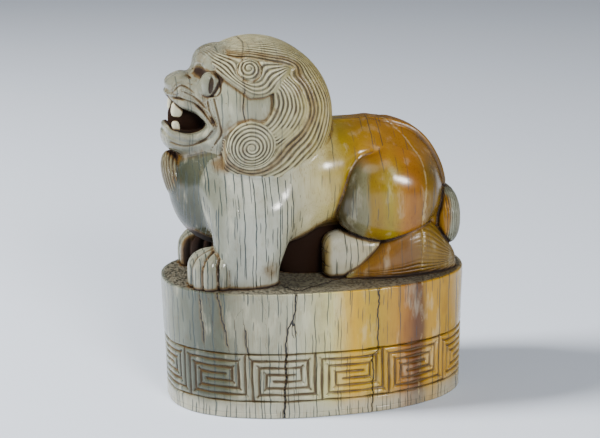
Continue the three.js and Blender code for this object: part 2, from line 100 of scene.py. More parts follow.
def smooth_min(a: Array, b: Array, reach: float) -> Array:
    """Lower of two distances, rounded where they lie within reach of each other."""
    blend = np.maximum(reach - np.abs(a - b), 0.0) / reach
    return np.minimum(a, b) - blend * blend * reach * 0.25


def smooth_max(a: Array, b: Array, reach: float) -> Array:
    """Higher of two distances, rounded where they lie within reach of each other."""
    return -smooth_min(-a, -b, reach)


def ease(value: Array, low: float, high: float) -> Array:
    """Smooth step from 0 at low to 1 at high."""
    t = np.clip((value - low) / (high - low), 0.0, 1.0)
    return t * t * (3 - 2 * t)


def bell(value: Array, width: float) -> Array:
    """1 where value is 0, falling away smoothly on both sides."""
    return np.exp(-((value / width) ** 2))


def through(points: Sequence[Sequence[float]], steps: int = 6) -> Array:
    """A smooth line through points of any dimension (Catmull-Rom).

    Args:
        points: the points that the line passes.
        steps: stretches drawn between two points.

    Returns:
        The line's points as rows.
    """
    rows = np.array(points, float)
    padded = np.vstack([2 * rows[0] - rows[1], rows, 2 * rows[-1] - rows[-2]])
    line = []
    for i in range(1, len(padded) - 2):
        a, b, c, d = padded[i - 1:i + 3]
        for t in np.arange(steps) / steps:
            line.append(0.5 * (2 * b + (c - a) * t + (2 * a - 5 * b + 4 * c - d) * t ** 2
                               + (3 * b - a - 3 * c + d) * t ** 3))
    line.append(rows[-1])
    return np.array(line)


def gap_to_line(line: Array, u: Array, v: Array, signed: bool = False) -> Array:
    """Distance from each place (u, v) to an open line of points.

    Args:
        line: the line's points as rows.
        u: first coordinate of each place.
        v: second coordinate of each place.
        signed: whether places right of the line count as negative.

    Returns:
        The distances.
    """
    best = np.full(u.shape, FAR ** 2)
    side = np.ones(u.shape)
    for (au, av), (bu, bv) in zip(line[:-1], line[1:]):
        du, dv = bu - au, bv - av
        t = np.clip(((u - au) * du + (v - av) * dv) / (du * du + dv * dv + 1e-12), 0.0, 1.0)
        gap = (u - au - t * du) ** 2 + (v - av - t * dv) ** 2
        if signed:
            side = np.where(gap < best, np.sign(du * (v - av) - dv * (u - au)), side)
        best = np.minimum(best, gap)
    return np.sqrt(best) * side


def nearest_line(lines: Sequence[Array], u: Array, v: Array) -> Array:
    """Signed distance from each place (u, v) to the nearest of several lines."""
    best = np.full(u.shape, FAR)
    for line in lines:
        gap = gap_to_line(line, u, v, signed=True)
        best = np.where(np.abs(gap) < np.abs(best), gap, best)
    return best


def gap_to_patch(outline: Array, u: Array, v: Array) -> Array:
    """Distance from each place (u, v) to a closed outline, negative inside it."""
    closed = np.vstack([outline, outline[:1]])
    inside = np.zeros(u.shape, bool)
    for (au, av), (bu, bv) in zip(closed[:-1], closed[1:]):
        if av != bv:
            crosses = (v < av) != (v < bv)
            inside ^= crosses & (u < au + (v - av) * (bu - au) / (bv - av))
    gap = gap_to_line(closed, u, v)
    return np.where(inside, -gap, gap)


def oval_gap(u: Array, v: Array, half_u: Size, half_v: Size, squareness: float) -> Array:
    """About how far each place (u, v) lies outside an oval round (0, 0).

    Args:
        u: first coordinate of each place.
        v: second coordinate of each place.
        half_u: the oval's half size along u.
        half_v: the oval's half size along v.
        squareness: 2 for an ellipse, more for a blockier oval.

    Returns:
        The distances, negative inside.
    """
    share_u, share_v = np.abs(u) / half_u + 1e-9, np.abs(v) / half_v + 1e-9
    total = share_u ** squareness + share_v ** squareness
    radius = total ** (1 / squareness)
    slope = np.hypot(share_u ** (squareness - 1) / half_u, share_v ** (squareness - 1) / half_v)
    return (radius - 1) / (slope * radius / total)


def spun(points: Array, degrees: float, first: int, second: int) -> Array:
    """Points turned about the origin.

    Args:
        points: the points.
        degrees: how far they turn, from the first axis towards the second.
        first: number of the first axis.
        second: number of the second axis.

    Returns:
        The turned points.
    """
    c, s = math.cos(math.radians(degrees)), math.sin(math.radians(degrees))
    turned = points.copy()
    turned[:, first] = points[:, first] * c - points[:, second] * s
    turned[:, second] = points[:, first] * s + points[:, second] * c
    return turned


@dataclass
class Sheet:
    """A function of two lengths, worked out once on a grid and read between its points."""

    low: Point2
    high: Point2
    rule: Callable[[Array, Array], Array]
    step: float = 0.15
    soften: float = 0.0  # how far its corners are rounded

    def __post_init__(self) -> None:
        """Fills the grid."""
        us = np.arange(self.low[0], self.high[0] + self.step, self.step)
        vs = np.arange(self.low[1], self.high[1] + self.step, self.step)
        u, v = np.meshgrid(us, vs, indexing="ij")
        self.values = self.rule(u, v)
        for _ in range(int(2 * (self.soften / self.step) ** 2)):
            wide = np.pad(self.values, 1, mode="edge")
            rows = (wide[:-2, 1:-1] + 2 * wide[1:-1, 1:-1] + wide[2:, 1:-1]) / 4
            wide = np.pad(rows, 1, mode="edge")
            self.values = (wide[1:-1, :-2] + 2 * wide[1:-1, 1:-1] + wide[1:-1, 2:]) / 4

    def at(self, u: Array, v: Array) -> Array:
        """The function's value at each place (u, v)."""
        count_u, count_v = self.values.shape
        across = np.clip((u - self.low[0]) / self.step, 0, count_u - 1.001)
        up = np.clip((v - self.low[1]) / self.step, 0, count_v - 1.001)
        i, j = across.astype(int), up.astype(int)
        s, t = across - i, up - j
        grid = self.values
        return ((grid[i, j] * (1 - s) + grid[i + 1, j] * s) * (1 - t)
                + (grid[i, j + 1] * (1 - s) + grid[i + 1, j + 1] * s) * t)


@dataclass(frozen=True)
class Egg:
    """An ellipsoid, blockier where its squareness is over 2."""

    centre: Point3
    half: Point3
    squareness: float = 2.0
    lean: float = 0.0  # degrees about the Y axis, positive lifts the -X end
    turn: float = 0.0  # degrees about the Z axis, positive brings the -X end to the middle

    def bounds(self) -> tuple[Array, Array]:
        """Lowest and highest corner."""
        reach = np.array(self.half)
        if self.lean or self.turn:
            reach = np.full(3, max(self.half))
        return np.array(self.centre) - reach, np.array(self.centre) + reach

    def distance(self, p: Array) -> Array:
        """Distance from each point to the surface, negative inside."""
        q = p - np.array(self.centre)
        if self.lean:
            q = spun(q, self.lean, 0, 2)
        if self.turn:
            q = spun(q, self.turn, 0, 1)
        half = np.array(self.half)
        share = np.abs(q) / half + 1e-9
        powers = share ** (self.squareness - 1)
        total = (powers * share).sum(1)
        radius = total ** (1 / self.squareness)
        slope = np.sqrt(((powers / half) ** 2).sum(1)) * radius / total
        return (radius - 1) / slope


class Axis(Enum):
    """The way a loft runs."""

    ALONG = 0
    UP = 2


@dataclass(frozen=True)
class Loft:
    """A body through oval sections, each with its place, its two middles and its two halves."""

    sections: tuple[tuple[float, ...], ...]
    axis: Axis = Axis.ALONG
    squareness: float = 2.0
    end: float = 2.0  # rounding of its two ends

    def _across(self) -> tuple[int, int]:
        """The two axes that its sections lie in."""
        return (1, 2) if self.axis is Axis.ALONG else (0, 1)

    def bounds(self) -> tuple[Array, Array]:
        """Lowest and highest corner."""
        rows = np.array(self.sections)
        low, high = np.zeros(3), np.zeros(3)
        low[self.axis.value], high[self.axis.value] = rows[0, 0], rows[-1, 0]
        for k, axis in enumerate(self._across()):
            low[axis] = (rows[:, 1 + k] - rows[:, 3 + k]).min()
            high[axis] = (rows[:, 1 + k] + rows[:, 3 + k]).max()
        return low, high

    def distance(self, p: Array) -> Array:
        """Distance from each point to the surface, negative inside."""
        rows = through(self.sections, 8)
        place = p[:, self.axis.value]
        first, second = self._across()
        mid_u, mid_v, half_u, half_v = (np.interp(place, rows[:, 0], rows[:, k]) for k in range(1, 5))
        side = self.end + oval_gap(p[:, first] - mid_u, p[:, second] - mid_v, half_u, half_v,
                                   self.squareness)
        cap = np.maximum(rows[0, 0] - place, place - rows[-1, 0]) + self.end
        return (np.minimum(np.maximum(side, cap), 0)
                + np.hypot(np.maximum(side, 0), np.maximum(cap, 0)) - self.end)


@dataclass(frozen=True)
class Ridge:
    """A ridge along a line in the plane of X and height, on the middle of the back."""

    line: tuple[Point2, ...]
    halfWidth: float
    thickness: float
    rounding: float = 1.2  # of its two sides

    def bounds(self) -> tuple[Array, Array]:
        """Lowest and highest corner."""
        rows = np.array(self.line)
        low = [rows[:, 0].min() - self.thickness, -self.halfWidth, rows[:, 1].min() - self.thickness]
        high = [rows[:, 0].max() + self.thickness, self.halfWidth, rows[:, 1].max() + self.thickness]
        return np.array(low), np.array(high)

    def distance(self, p: Array) -> Array:
        """Distance from each point to the surface, negative inside."""
        gap = gap_to_line(through(self.line, 3), p[:, 0], p[:, 2]) - self.thickness
        return smooth_max(gap, np.abs(p[:, 1]) - self.halfWidth, self.rounding)


Form = Union[Egg, Loft, Ridge]


@dataclass
class Combing:
    """Strands cut into a surface: their count, and where they wind round a middle."""

    count: Array
    windU: Array
    windV: Array
    strength: Array

    def grooves(self) -> Array:
        """How deep each point lies in a groove between two strands, 0 to 1."""
        turn = np.arctan2(self.windV, self.windU) / (2 * math.pi)
        return (1 - np.abs(np.sin(math.pi * (self.count - turn)))) ** 1.2 * self.strength


@dataclass
class Hair:
    """The combed hair of the mane: a drum about the Y axis, with its locks and curls.

    The chart unrolls the drum's side: a place's distance from the chart's middle is the way
    over the surface from the drum's axis, and its direction is the direction in the side view.
    """

    radius: float = 14.75
    halfWidth: float = 14.8
    squareness: float = 3.2
    browLow: tuple[Point2, ...] = (
        (-20.5, 20.4), (-16.5, 16.8), (-13.2, 13.4), (-11.4, 11.6), (-9.8, 10.2), (-7.25, 8.3),
        (-4.95, 6.57), (-2.95, 5.15), (-0.9, 4.75), (1.2, 5.35), (2.9, 7.3), (4.64, 9.3), (6.44, 10.58),
    )
    browTop: tuple[Point2, ...] = (
        (6.44, 10.58), (4.51, 11.3), (1.31, 12.0), (-1.0, 12.6), (-2.9, 13.2), (-4.6, 13.3),
        (-6.27, 14.0), (-8.95, 16.02), (-12.5, 19.0), (-16.5, 21.5), (-20.5, 24.0),
    )
    cheekEdge: tuple[Point2, ...] = (
        (1.62, 5.73), (1.67, 3.77), (1.14, 1.47), (0.18, 0.11), (-0.76, -0.42),
    )
    lockEdge: tuple[Point2, ...] = (
        (4.69, 9.2), (6.99, 6.96), (8.18, 4.31), (8.43, 1.95), (7.35, -0.08), (5.59, -2.55),
        (3.18, -4.3), (1.04, -5.38),
    )
    curlMiddle: Point2 = (-2.93, -4.35)
    curlRadius: float = 4.75
    curlPitch: float = 0.68
    browCurlMiddle: Point2 = (-2.95, 10.2)
    browCurlRadius: float = 2.3
    browCurlPitch: float = 0.72
    browStrands: float = 6.5
    strands: float = 15.0  # from the inner locks to the middle of the crown
    lockStrands: float = 8.0
    opening: tuple[Point2, ...] = (
        (-30, 12.4), (-11.5, 12.4), (-9.9, 11.8), (-9.2, 10.6), (-8.6, 9.2), (-7.1, 8.0),
        (-4.9, 6.4), (-2.95, 4.8), (-0.4, 5.0), (1.5, 5.6), (1.6, 3.77), (1.1, 1.47),
        (0.15, 0.2), (-0.9, -0.1), (-2.9, 0.4), (-5.3, -0.2), (-7.0, -1.9), (-7.7, -4.3),
        (-7.9, -7.5), (-8.6, -15), (-30, -15),
    )
    browRise: float = 0.55  # how far each form stands out of the drum, or is cut into it
    browCurlRise: float = 0.5
    browCurlGroove: float = 0.3
    lockRise: float = 0.35
    lockSink: float = 0.3
    borderGroove: float = 0.5
    curlRise: float = 0.9
    curlGroove: float = 0.12
    plainMiddle: Point2 = (3.4, -2.2)  # the patch of the lock where the strands fade
    plainHalf: Point2 = (2.6, 1.3)

    def __post_init__(self) -> None:
        """Places the mane by its CAD node and works out its sheets."""
        high = corners("mane")[1]
        self.centre = np.array([high[0] - self.radius, 0.0, high[2] - self.radius])
        turn = np.linspace(0, math.pi / 2, 1500)
        across = self.radius * np.sin(turn) ** (2 / self.squareness)
        out = self.halfWidth * np.cos(turn) ** (2 / self.squareness)
        self.angles = np.arctan2(across / self.radius, out / self.halfWidth)
        self.ways = np.concatenate([[0], np.cumsum(np.hypot(np.diff(across), np.diff(out)))])
        self.reach = float(self.ways[-1])
        self.openingSheet = self._sheet(16.0, self._opening_gap)
        self.browSheet = self._sheet(26.0, self._brow_gap)
        self.lockSheet = self._sheet(26.0, self._lock_gap)
        self.innerSheet = self._sheet(26.0, self._inner_gap, 0.8)
        self.browStrand = self._sheet(26.0, self._brow_strand, 0.3)
        self.lockStrand = self._sheet(26.0, self._lock_strand, 0.5)

    @staticmethod
    def _sheet(reach: float, rule: Callable[[Array, Array], Array], soften: float = 0.0) -> Sheet:
        """A sheet over a square round the mane's middle."""
        return Sheet((-reach, -reach), (reach, reach), rule, soften=soften)

    def _opening_gap(self, u: Array, v: Array) -> Array:
        """Distance to the opening that the face looks out of, negative inside it."""
        return gap_to_patch(np.array(self.opening), u, v)

    def _brow_gap(self, u: Array, v: Array) -> Array:
        """Distance to the brow's outline."""
        return gap_to_patch(np.vstack([through(self.browLow), through(self.browTop)]), u, v)

    def _lock_gap(self, u: Array, v: Array) -> Array:
        """Distance to the outline of the lock behind the cheek."""
        ear = through(self.browLow)
        ear = ear[(ear[:, 1] < self.lockEdge[0][1]) & (ear[:, 0] > self.cheekEdge[0][0])]
        lines = [ear, through(self.lockEdge), np.array([self.curlMiddle]), through(self.cheekEdge)[::-1]]
        return gap_to_patch(np.vstack(lines), u, v)

    def _inner_gap(self, u: Array, v: Array) -> Array:
        """Distance outwards from the brow, lock and curl together."""
        top = through(self.browTop)[::-1]
        rest = np.array([self.curlMiddle, (-7.7, -4.3), (-20.0, -4.0), (-20.0, 19.0)])
        outline = np.vstack([top, through(self.lockEdge), rest])
        ring = self.curl_ring(u, v) - self.curlRadius
        return smooth_min(gap_to_patch(outline, u, v), ring, 2.0)

    def _brow_strand(self, u: Array, v: Array) -> Array:
        """Strand count from the brow's lower edge to its top."""
        low = gap_to_line(through(self.browLow), u, v)
        ring = self.brow_ring(u, v) - self.browCurlRadius
        top = smooth_min(gap_to_line(through(self.browTop), u, v), np.maximum(ring, 0) + 1.2, 1.5)
        return self.browStrands * low / (low + top + 1e-6)

    def _lock_strand(self, u: Array, v: Array) -> Array:
        """Strand count across the lock, from the cheek outwards."""
        inner = gap_to_line(through(self.cheekEdge), u, v)
        outer = gap_to_line(through(self.lockEdge), u, v)
        return self.lockStrands * inner / (inner + outer + 1e-6)

    def chart(self, p: Array) -> tuple[Array, Array, Array]:
        """Lays points out in the chart.

        Args:
            p: points in millimetres.

        Returns:
            Both coordinates of each point in the chart, and its way from the chart's middle.
        """
        x, z = p[:, 0] - self.centre[0], p[:, 2] - self.centre[2]
        across = np.hypot(x, z) + 1e-9
        angle = np.arctan2(across / self.radius, np.abs(p[:, 1]) / self.halfWidth + 1e-9)
        way = np.interp(angle, self.angles, self.ways)
        return x / across * way, z / across * way, way

    def curl_ring(self, u: Array, v: Array) -> Array:
        """Distance from the middle of the big curl."""
        return np.hypot(u - self.curlMiddle[0], v - self.curlMiddle[1])

    def brow_ring(self, u: Array, v: Array) -> Array:
        """Distance from the middle of the small curl on the brow."""
        return np.hypot(u - self.browCurlMiddle[0], v - self.browCurlMiddle[1])

    def relief(self, u: Array, v: Array) -> Array:
        """How far the hair's main forms stand out of the drum.

        Args:
            u: first coordinate in the chart.
            v: second coordinate in the chart.

        Returns:
            Heights in millimetres, negative in a groove.
        """
        brow, lock = self.browSheet.at(u, v), self.lockSheet.at(u, v)
        inner = self.innerSheet.at(u, v)
        curl, small = self.curl_ring(u, v), self.brow_ring(u, v)
        height = self.browRise * ease(-brow, 0.0, 0.7)
        height += self.browCurlRise * np.clip(1 - (small / self.browCurlRadius) ** 2, 0, 1)
        height -= self.browCurlGroove * bell(small - self.browCurlRadius, 0.25)
        across = self.lockStrand.at(u, v) / self.lockStrands
        on_lock = ease(-lock, 0.0, 0.6)
        height += on_lock * (self.lockRise * np.sin(np.pi * np.clip(across, 0, 1)) - self.lockSink)
        height -= self.borderGroove * bell(inner - 0.1, 0.42) * ease(v, -8.5, -5.0)
        height += self.curlRise * np.clip(1 - (curl / self.curlRadius) ** 2, 0, 1) ** 0.8
        height -= self.curlGroove * bell(curl - self.curlRadius, 0.3)
        return height

    def owners(self, u: Array, v: Array) -> dict[str, Array]:
        """How far each place lies outside each hair piece, negative inside it."""
        brow, lock = self.browSheet.at(u, v), self.lockSheet.at(u, v)
        curl, small = self.curl_ring(u, v) - self.curlRadius, self.brow_ring(u, v) - self.browCurlRadius
        return {
            "brow_curl": small,
            "brow": np.maximum(brow, -small),
            "mane_curl": curl,
            "mane_lock": np.maximum(np.maximum(lock, -curl), -brow),
            "mane": -np.minimum(np.minimum(brow, lock), np.minimum(curl, small)),
        }

    def distance(self, p: Array) -> Array:
        """Distance to the hair's surface with its main forms, negative inside."""
        u, v, _ = self.chart(p)
        x, z = p[:, 0] - self.centre[0], p[:, 2] - self.centre[2]
        drum = oval_gap(np.hypot(x, z), p[:, 1], self.radius, self.halfWidth, self.squareness)
        drum = drum - self.relief(u, v)
        return smooth_max(drum, -self.openingSheet.at(x, z), 0.5)

    def combing(self, node: str, p: Array) -> Combing:
        """How the hair of a piece runs.

        Args:
            node: the piece's name without its side.
            p: points in millimetres.

        Returns:
            The strands at each point.
        """
        u, v, way = self.chart(p)
        still = np.ones(len(p))
        wobble = 0.1 * np.sin(0.7 * u + 0.5 * v) + 0.07 * np.sin(0.5 * u - 0.9 * v + 1.0)
        if node == "mane_curl":
            ring = self.curl_ring(u, v)
            return Combing(ring / self.curlPitch + wobble, u - self.curlMiddle[0],
                           v - self.curlMiddle[1], ease(ring, 0.3, 0.7))
        if node == "brow_curl":
            ring = self.brow_ring(u, v)
            return Combing(ring / self.browCurlPitch, self.browCurlMiddle[0] - u,
                           v - self.browCurlMiddle[1], ease(ring, 0.25, 0.5))
        on_brow, on_lock = self.browSheet.at(u, v), self.lockSheet.at(u, v)
        brow, lock = self.browStrand.at(u, v) + wobble, self.lockStrand.at(u, v) + wobble
        inner = np.maximum(self.innerSheet.at(u, v), 0)
        share = inner / (inner + np.maximum(self.reach - way, 0) + 1e-6)
        mane = self.strands * share ** 0.82 + wobble
        plain = np.hypot((u - self.plainMiddle[0]) / self.plainHalf[0],
                         (v - self.plainMiddle[1]) / self.plainHalf[1])
        kept = 1 - 0.8 * (1 - ease(plain, 0.6, 1.0))
        if node == "brow":
            return Combing(brow, still, 0 * still, ease(-on_brow, 0.15, 0.7))
        if node == "mane_lock":
            return Combing(lock, still, 0 * still, kept * ease(-on_lock, 0.05, 0.4))
        if node == "mane":
            return Combing(mane, still, 0 * still, kept * ease(np.minimum(on_brow, on_lock), -0.2, 0.1))
        x, z = p[:, 0] - self.centre[0], p[:, 2] - self.centre[2]
        haired = ease(self.openingSheet.at(x, z), 0.0, 0.4) * ease(z, 5.0, 7.0)
        return Combing(np.where(on_brow < 0, brow, mane), still, 0 * still,
                       haired * ease(np.abs(on_brow), 0.0, 0.3))


@dataclass
class Lion:
    """The lion's forms, and the one carved surface that they make together."""

    hair: Hair  # the mane, which the head is placed by
    pawMiddle: Point2 = (-18.2, 8.3)
    toeAngle: float = math.radians(21.0)
    toeLean: float = math.radians(8.0)
    toeDepth: float = 0.9
    faceDepth: float = 0.26
    bareStrip: float = 1.5  # half width of the strip that the face's lines leave free
    lipRise: float = 0.32
    lipGroove: float = 0.18
    creaseWidth: float = 0.3  # of the groove round a form, and how much its depth widens it
    creaseSpread: float = 0.7
    freeBlend: float = 4.0  # more rounding where a form runs into the body
    footing: float = 0.35  # how deep the lion's pieces go into the block
    closing: float = 1.2  # how fast a piece turns in under its neighbours
    hairDepth: float = 3.2

    FACE_LINES = (
        ((-28.9, 63.6), (-28.2, 64.5), (-27.7, 65.3), (-26.5, 66.1), (-25.1, 66.4), (-24.3, 66.0)),
        ((-27.5, 64.0), (-26.6, 64.8), (-25.5, 64.6), (-24.4, 63.9)),
        ((-28.6, 62.6), (-27.1, 62.4), (-25.4, 62.0), (-23.6, 61.2), (-22.2, 59.7), (-21.0, 57.8)),
        ((-20.5, 62.6), (-20.2, 61.1), (-19.6, 57.9), (-19.3, 56.0), (-20.4, 53.9)),
        ((-21.6, 62.0), (-21.3, 60.2), (-20.5, 57.9)),
        ((-22.4, 66.0), (-22.3, 64.6), (-21.5, 63.5), (-20.4, 63.2), (-19.5, 63.9), (-19.2, 65.2),
         (-19.7, 66.8)),
        ((-28.2, 66.4), (-27.2, 67.0), (-26.2, 66.9), (-25.3, 67.4)),
        ((-25.8, 63.6), (-24.3, 62.9), (-23.0, 61.9), (-22.0, 60.8)),
        ((-28.6, 53.8), (-26.8, 53.2), (-24.6, 53.4), (-22.3, 54.6), (-21.0, 56.4)),
    )

    def __post_init__(self) -> None:
        """Places every form by the mane and the base top."""
        skull = self.hair.centre + np.array([-3.3, 0, 2.65])
        snout = skull + np.array([-9.1, 0, 1.2])

        def at(origin: Array, x: float, y: float, z: float) -> Point3:
            """A place measured from an origin."""
            return (origin[0] + x, origin[1] + y, origin[2] + z)

        ground = np.array([0.0, 0.0, STAND])
        self.eye = Egg(at(skull, -6.1, 8.1, 4.1), (2.3, 1.8, 2.4), 2.7)
        self.orbit = Egg(at(skull, -8.7, 10.3, 4.4), (3.5, 3.1, 2.8))
        self.hollow = Egg(at(skull, -9.7, 6.2, 6.5), (2.3, 3.8, 1.7))
        self.lid = Egg(at(skull, -6.0, 7.2, 3.9), (2.6, 1.9, 2.85))
        # each form with its rounding and the depth of the groove round it
        self.forms: dict[str, list[tuple[Form, float, float]]] = {
            "head": [
                (Egg(at(skull, 0, 0, 0), (9.6, 13.0, 10.2), 2.2), 1.0, 0),
                (Egg(at(skull, 2.8, 0, -0.8), (7.2, 13.7, 8.8), 3.0), 1.5, 0),
                (Egg(at(skull, -2.9, 0, 5.6), (6.1, 8.8, 5.4), 2.7), 1.4, 0),
                (Egg(at(snout, 0, 0, -0.1), (5.4, 6.4, 4.4), 2.4), 2.2, 0),
                (Egg(at(snout, -2.4, 3.6, 1.2), (2.3, 2.3, 1.9), 2.3, 14.0), 0.5, 0.2),
            ],
            "lower_jaw": [
                (Egg(at(snout, 0.8, 0, -7.7), (7.4, 7.2, 4.3), 2.3), 2.0, 0),
                (Egg(at(snout, 6.0, 0, -7.7), (7.0, 9.9, 5.0)), 3.0, 0),
            ],
            "nose": [(Egg(at(snout, -2.9, 0, 2.5), (2.5, 4.1, 1.9), 2.7, -24.0), 0.6, 0)],
            "eye": [(self.eye, 0.1, 0.12)],
            "tongue": [(Egg(at(snout, 0.3, 0, -4.3), (5.3, 3.2, 3.3), 2.6), 0.5, 0)],
            "upper_fang": [(Egg(at(snout, -3.5, 3.6, -2.2), (1.15, 1.0, 1.7), 2.8, 8.0), 0.15, 0.1)],
            "lower_fang": [(Egg(at(snout, -3.9, 4.1, -5.7), (0.8, 0.9, 1.25), 2.6, -6.0), 0.15, 0.1)],
            "chest": [(Egg(at(ground, -17, 0, 18), (11.8, 10.6, 12.0), 2.1), 2.0, 0)],
            "beard_tuft": [(Egg(at(snout, -3.9, 0, -16.6), (2.5, 4.7, 5.6), 2.0, -16.0), 1.2, 0.16)],
            "torso": [(Loft(on_block(2,
                (-9, 0, 20.4, 12.2, 9.9), (-5, 0, 20.3, 12.6, 10.3),
                (0, 0, 20, 12.6, 10.5), (4, 0, 19.9, 11.7, 10.5),
                (8, 0, 19.9, 10.5, 10.4), (13, 0, 20, 9.8, 10.2),
            ), squareness=2.2), 3.0, 0),
                (Egg(at(ground, -5.2, 6.4, 12.0), (6.2, 4.6, 4.4), 2.0, -24.0), 3.0, 0)],
            "rump": [(Loft(on_block(2,
                (9, 0, 16, 9.4, 14.0), (15, 0, 14.6, 9.7, 15.2),
                (19, 0, 13.9, 9.7, 14.8), (22.6, 0, 12.6, 8.8, 13.2),
                (25.2, 0, 11, 6.9, 11.0), (27.8, 0, 9, 4.2, 7.4),
            ), end=3.2), 4.0, 0)],
            "belly_core": [(Egg(at(ground, 3, 0, 4), (11, 5.4, 7), 3.0), 2.0, 0)],
            "spine_ridge": [(Ridge(on_block(1,
                (2, 29.8), (7.1, 30.0), (14.8, 29.8), (17.5, 29.2),
                (20.4, 27.9), (23.0, 25.7), (25.0, 22.7),
                (26.4, 19.4), (27.2, 15.6),
            ), 2.9, 0.7), 0.9, 0.1)],
            "tail_curl": [(Egg(at(ground, 26.8, 0, 9.9), (3.5, 9.2, 6.4), 2.3), 0.4, 0.3)],
            "foreleg": [(Loft(on_block(0,
                (-1.5, -15.0, 9.9, 6.2, 4.3), (3, -14.8, 10.1, 6.3, 4.4),
                (6.5, -14.4, 10.5, 7, 4.6), (10.5, -13.9, 10.7, 7.9, 5.0),
                (15, -13.4, 10.2, 9.2, 5.6), (19, -13.2, 9, 10, 5.2),
                (22.5, -13, 7.4, 10, 4.6), (26, -13, 6, 8.5, 3.5),
            ), Axis.UP, 2.2, 1.5), 2.6, 0)],
            "forepaw": [(Egg(at(ground, -19.8, 8.8, 2.3), (6.8, 5.2, 5.1), 2.9, 0.0, 14.0), 0.7, 0.1)],
            "haunch": [(Egg(at(ground, 13.2, 7.4, 15.6), (10.6, 6.8, 9.2), 2.35, 14.0), 0.5, 0.4)],
            "hind_foot": [(Loft(on_block(2,
                (0.8, 6.9, 3.6, 3.5, 4.2), (2.2, 7.0, 3.8, 4.0, 4.8),
                (4.5, 7.0, 4.0, 4.1, 5.1), (9, 7.1, 4, 4.0, 4.9),
                (14, 7.0, 4, 3.4, 4.6), (18, 6.8, 4, 2.6, 3.4),
            ), squareness=2.6, end=1.4), 0.35, 0.3)],
            "tail_plume": [(Loft(on_block(2,
                (4.4, 10.0, -0.5, 1.0, 1.2), (8, 9.0, 0.8, 2.9, 2.8),
                (11, 8.4, 1.9, 4.3, 4.3), (15.4, 8.0, 3.8, 5.1, 6.4),
                (18.6, 7.6, 4.9, 5.3, 7.0), (22, 7.0, 4.4, 5.0, 6.6),
                (25.4, 6, 2.6, 4.3, 4.9), (28.6, 4.6, 0.8, 2.8, 2.4),
            ), squareness=2.3, end=1.2), 0.35, 0.25)],
        }
        self.mouth = Sheet((-34, 48), (-14, 70), self._mouth_gap, 0.1)
        self.faceSheet = Sheet((-34, 48), (-14, 70), self._face_gap, 0.1)

    def _face_gap(self, x: Array, z: Array) -> Array:
        """Distance to the nearest line cut into the face, in the side view."""
        return nearest_line([through(line, 4) for line in self.FACE_LINES], x, z)

    def _mouth_gap(self, x: Array, z: Array) -> Array:
        """Distance to the open mouth in the side view, negative inside it."""
        outline = [
            (-33, 63.4), (-29.5, 62.6), (-27.9, 61.5), (-26.1, 60.3), (-24, 59.4), (-22.2, 58),
            (-21.8, 57), (-22.5, 56.1), (-24.1, 55.5), (-26, 55.5), (-28.1, 56.3), (-29.2, 57.3),
            (-33, 58.2),
        ]
        return gap_to_patch(through(outline, 3), x, z)

    def toes(self, p: Array) -> Array:
        """Depth of the grooves between a forepaw's toes."""
        x, y = p[:, 0] - self.pawMiddle[0], p[:, 1] - self.pawMiddle[1]
        toe = (np.arctan2(y, -x) - self.toeLean) / self.toeAngle
        groove = (1 - np.abs(np.sin(math.pi * (toe + 0.5)))) ** 1.8
        front = 1 - ease(np.abs(toe), 3.3, 3.7)
        return self.toeDepth * groove * front * ease(np.hypot(x, y), 2.8, 4.4)

    @staticmethod
    def hold(node: str, p: Array) -> Array:
        """How sharply a piece stands off the body, 0 where it runs in, as the haunch does behind."""
        if node != "haunch":
            return np.ones(len(p))
        return 1 - ease(p[:, 0], 9.5, 14.0) * ease(p[:, 2] - STAND, 9.0, 14.0)

    def field(self, p: Array) -> tuple[Array, dict[str, Array]]:
        """The carved body, and how near each piece's own forms are.

        Args:
            p: points in millimetres.

        Returns:
            Distance to the whole lion, and the distance to each piece by itself.
        """
        q = p.copy()
        q[:, 1] = np.abs(q[:, 1])
        margin = 5.0
        low, high = q.min(0) - margin, q.max(0) + margin
        own: dict[str, Array] = {}

        def joined(total: Array, node: str) -> Array:
            """The body so far with one piece's forms blended in, where they are near enough."""
            for form, blend, crease in self.forms[node]:
                form_low, form_high = form.bounds()
                if np.any(form_high < low) or np.any(form_low > high):
                    continue
                gap = form.distance(q)
                if node == "forepaw":
                    gap = gap + self.toes(q)
                own[node] = np.minimum(own.get(node, FAR), gap)
                if crease:
                    hold = self.hold(node, q)
                    width = self.creaseWidth + self.creaseSpread * crease
                    groove = crease * hold * bell(total - gap, width)
                    total = smooth_min(total, gap, blend + self.freeBlend * (1 - hold)) + groove
                else:
                    total = smooth_min(total, gap, blend)
            return total

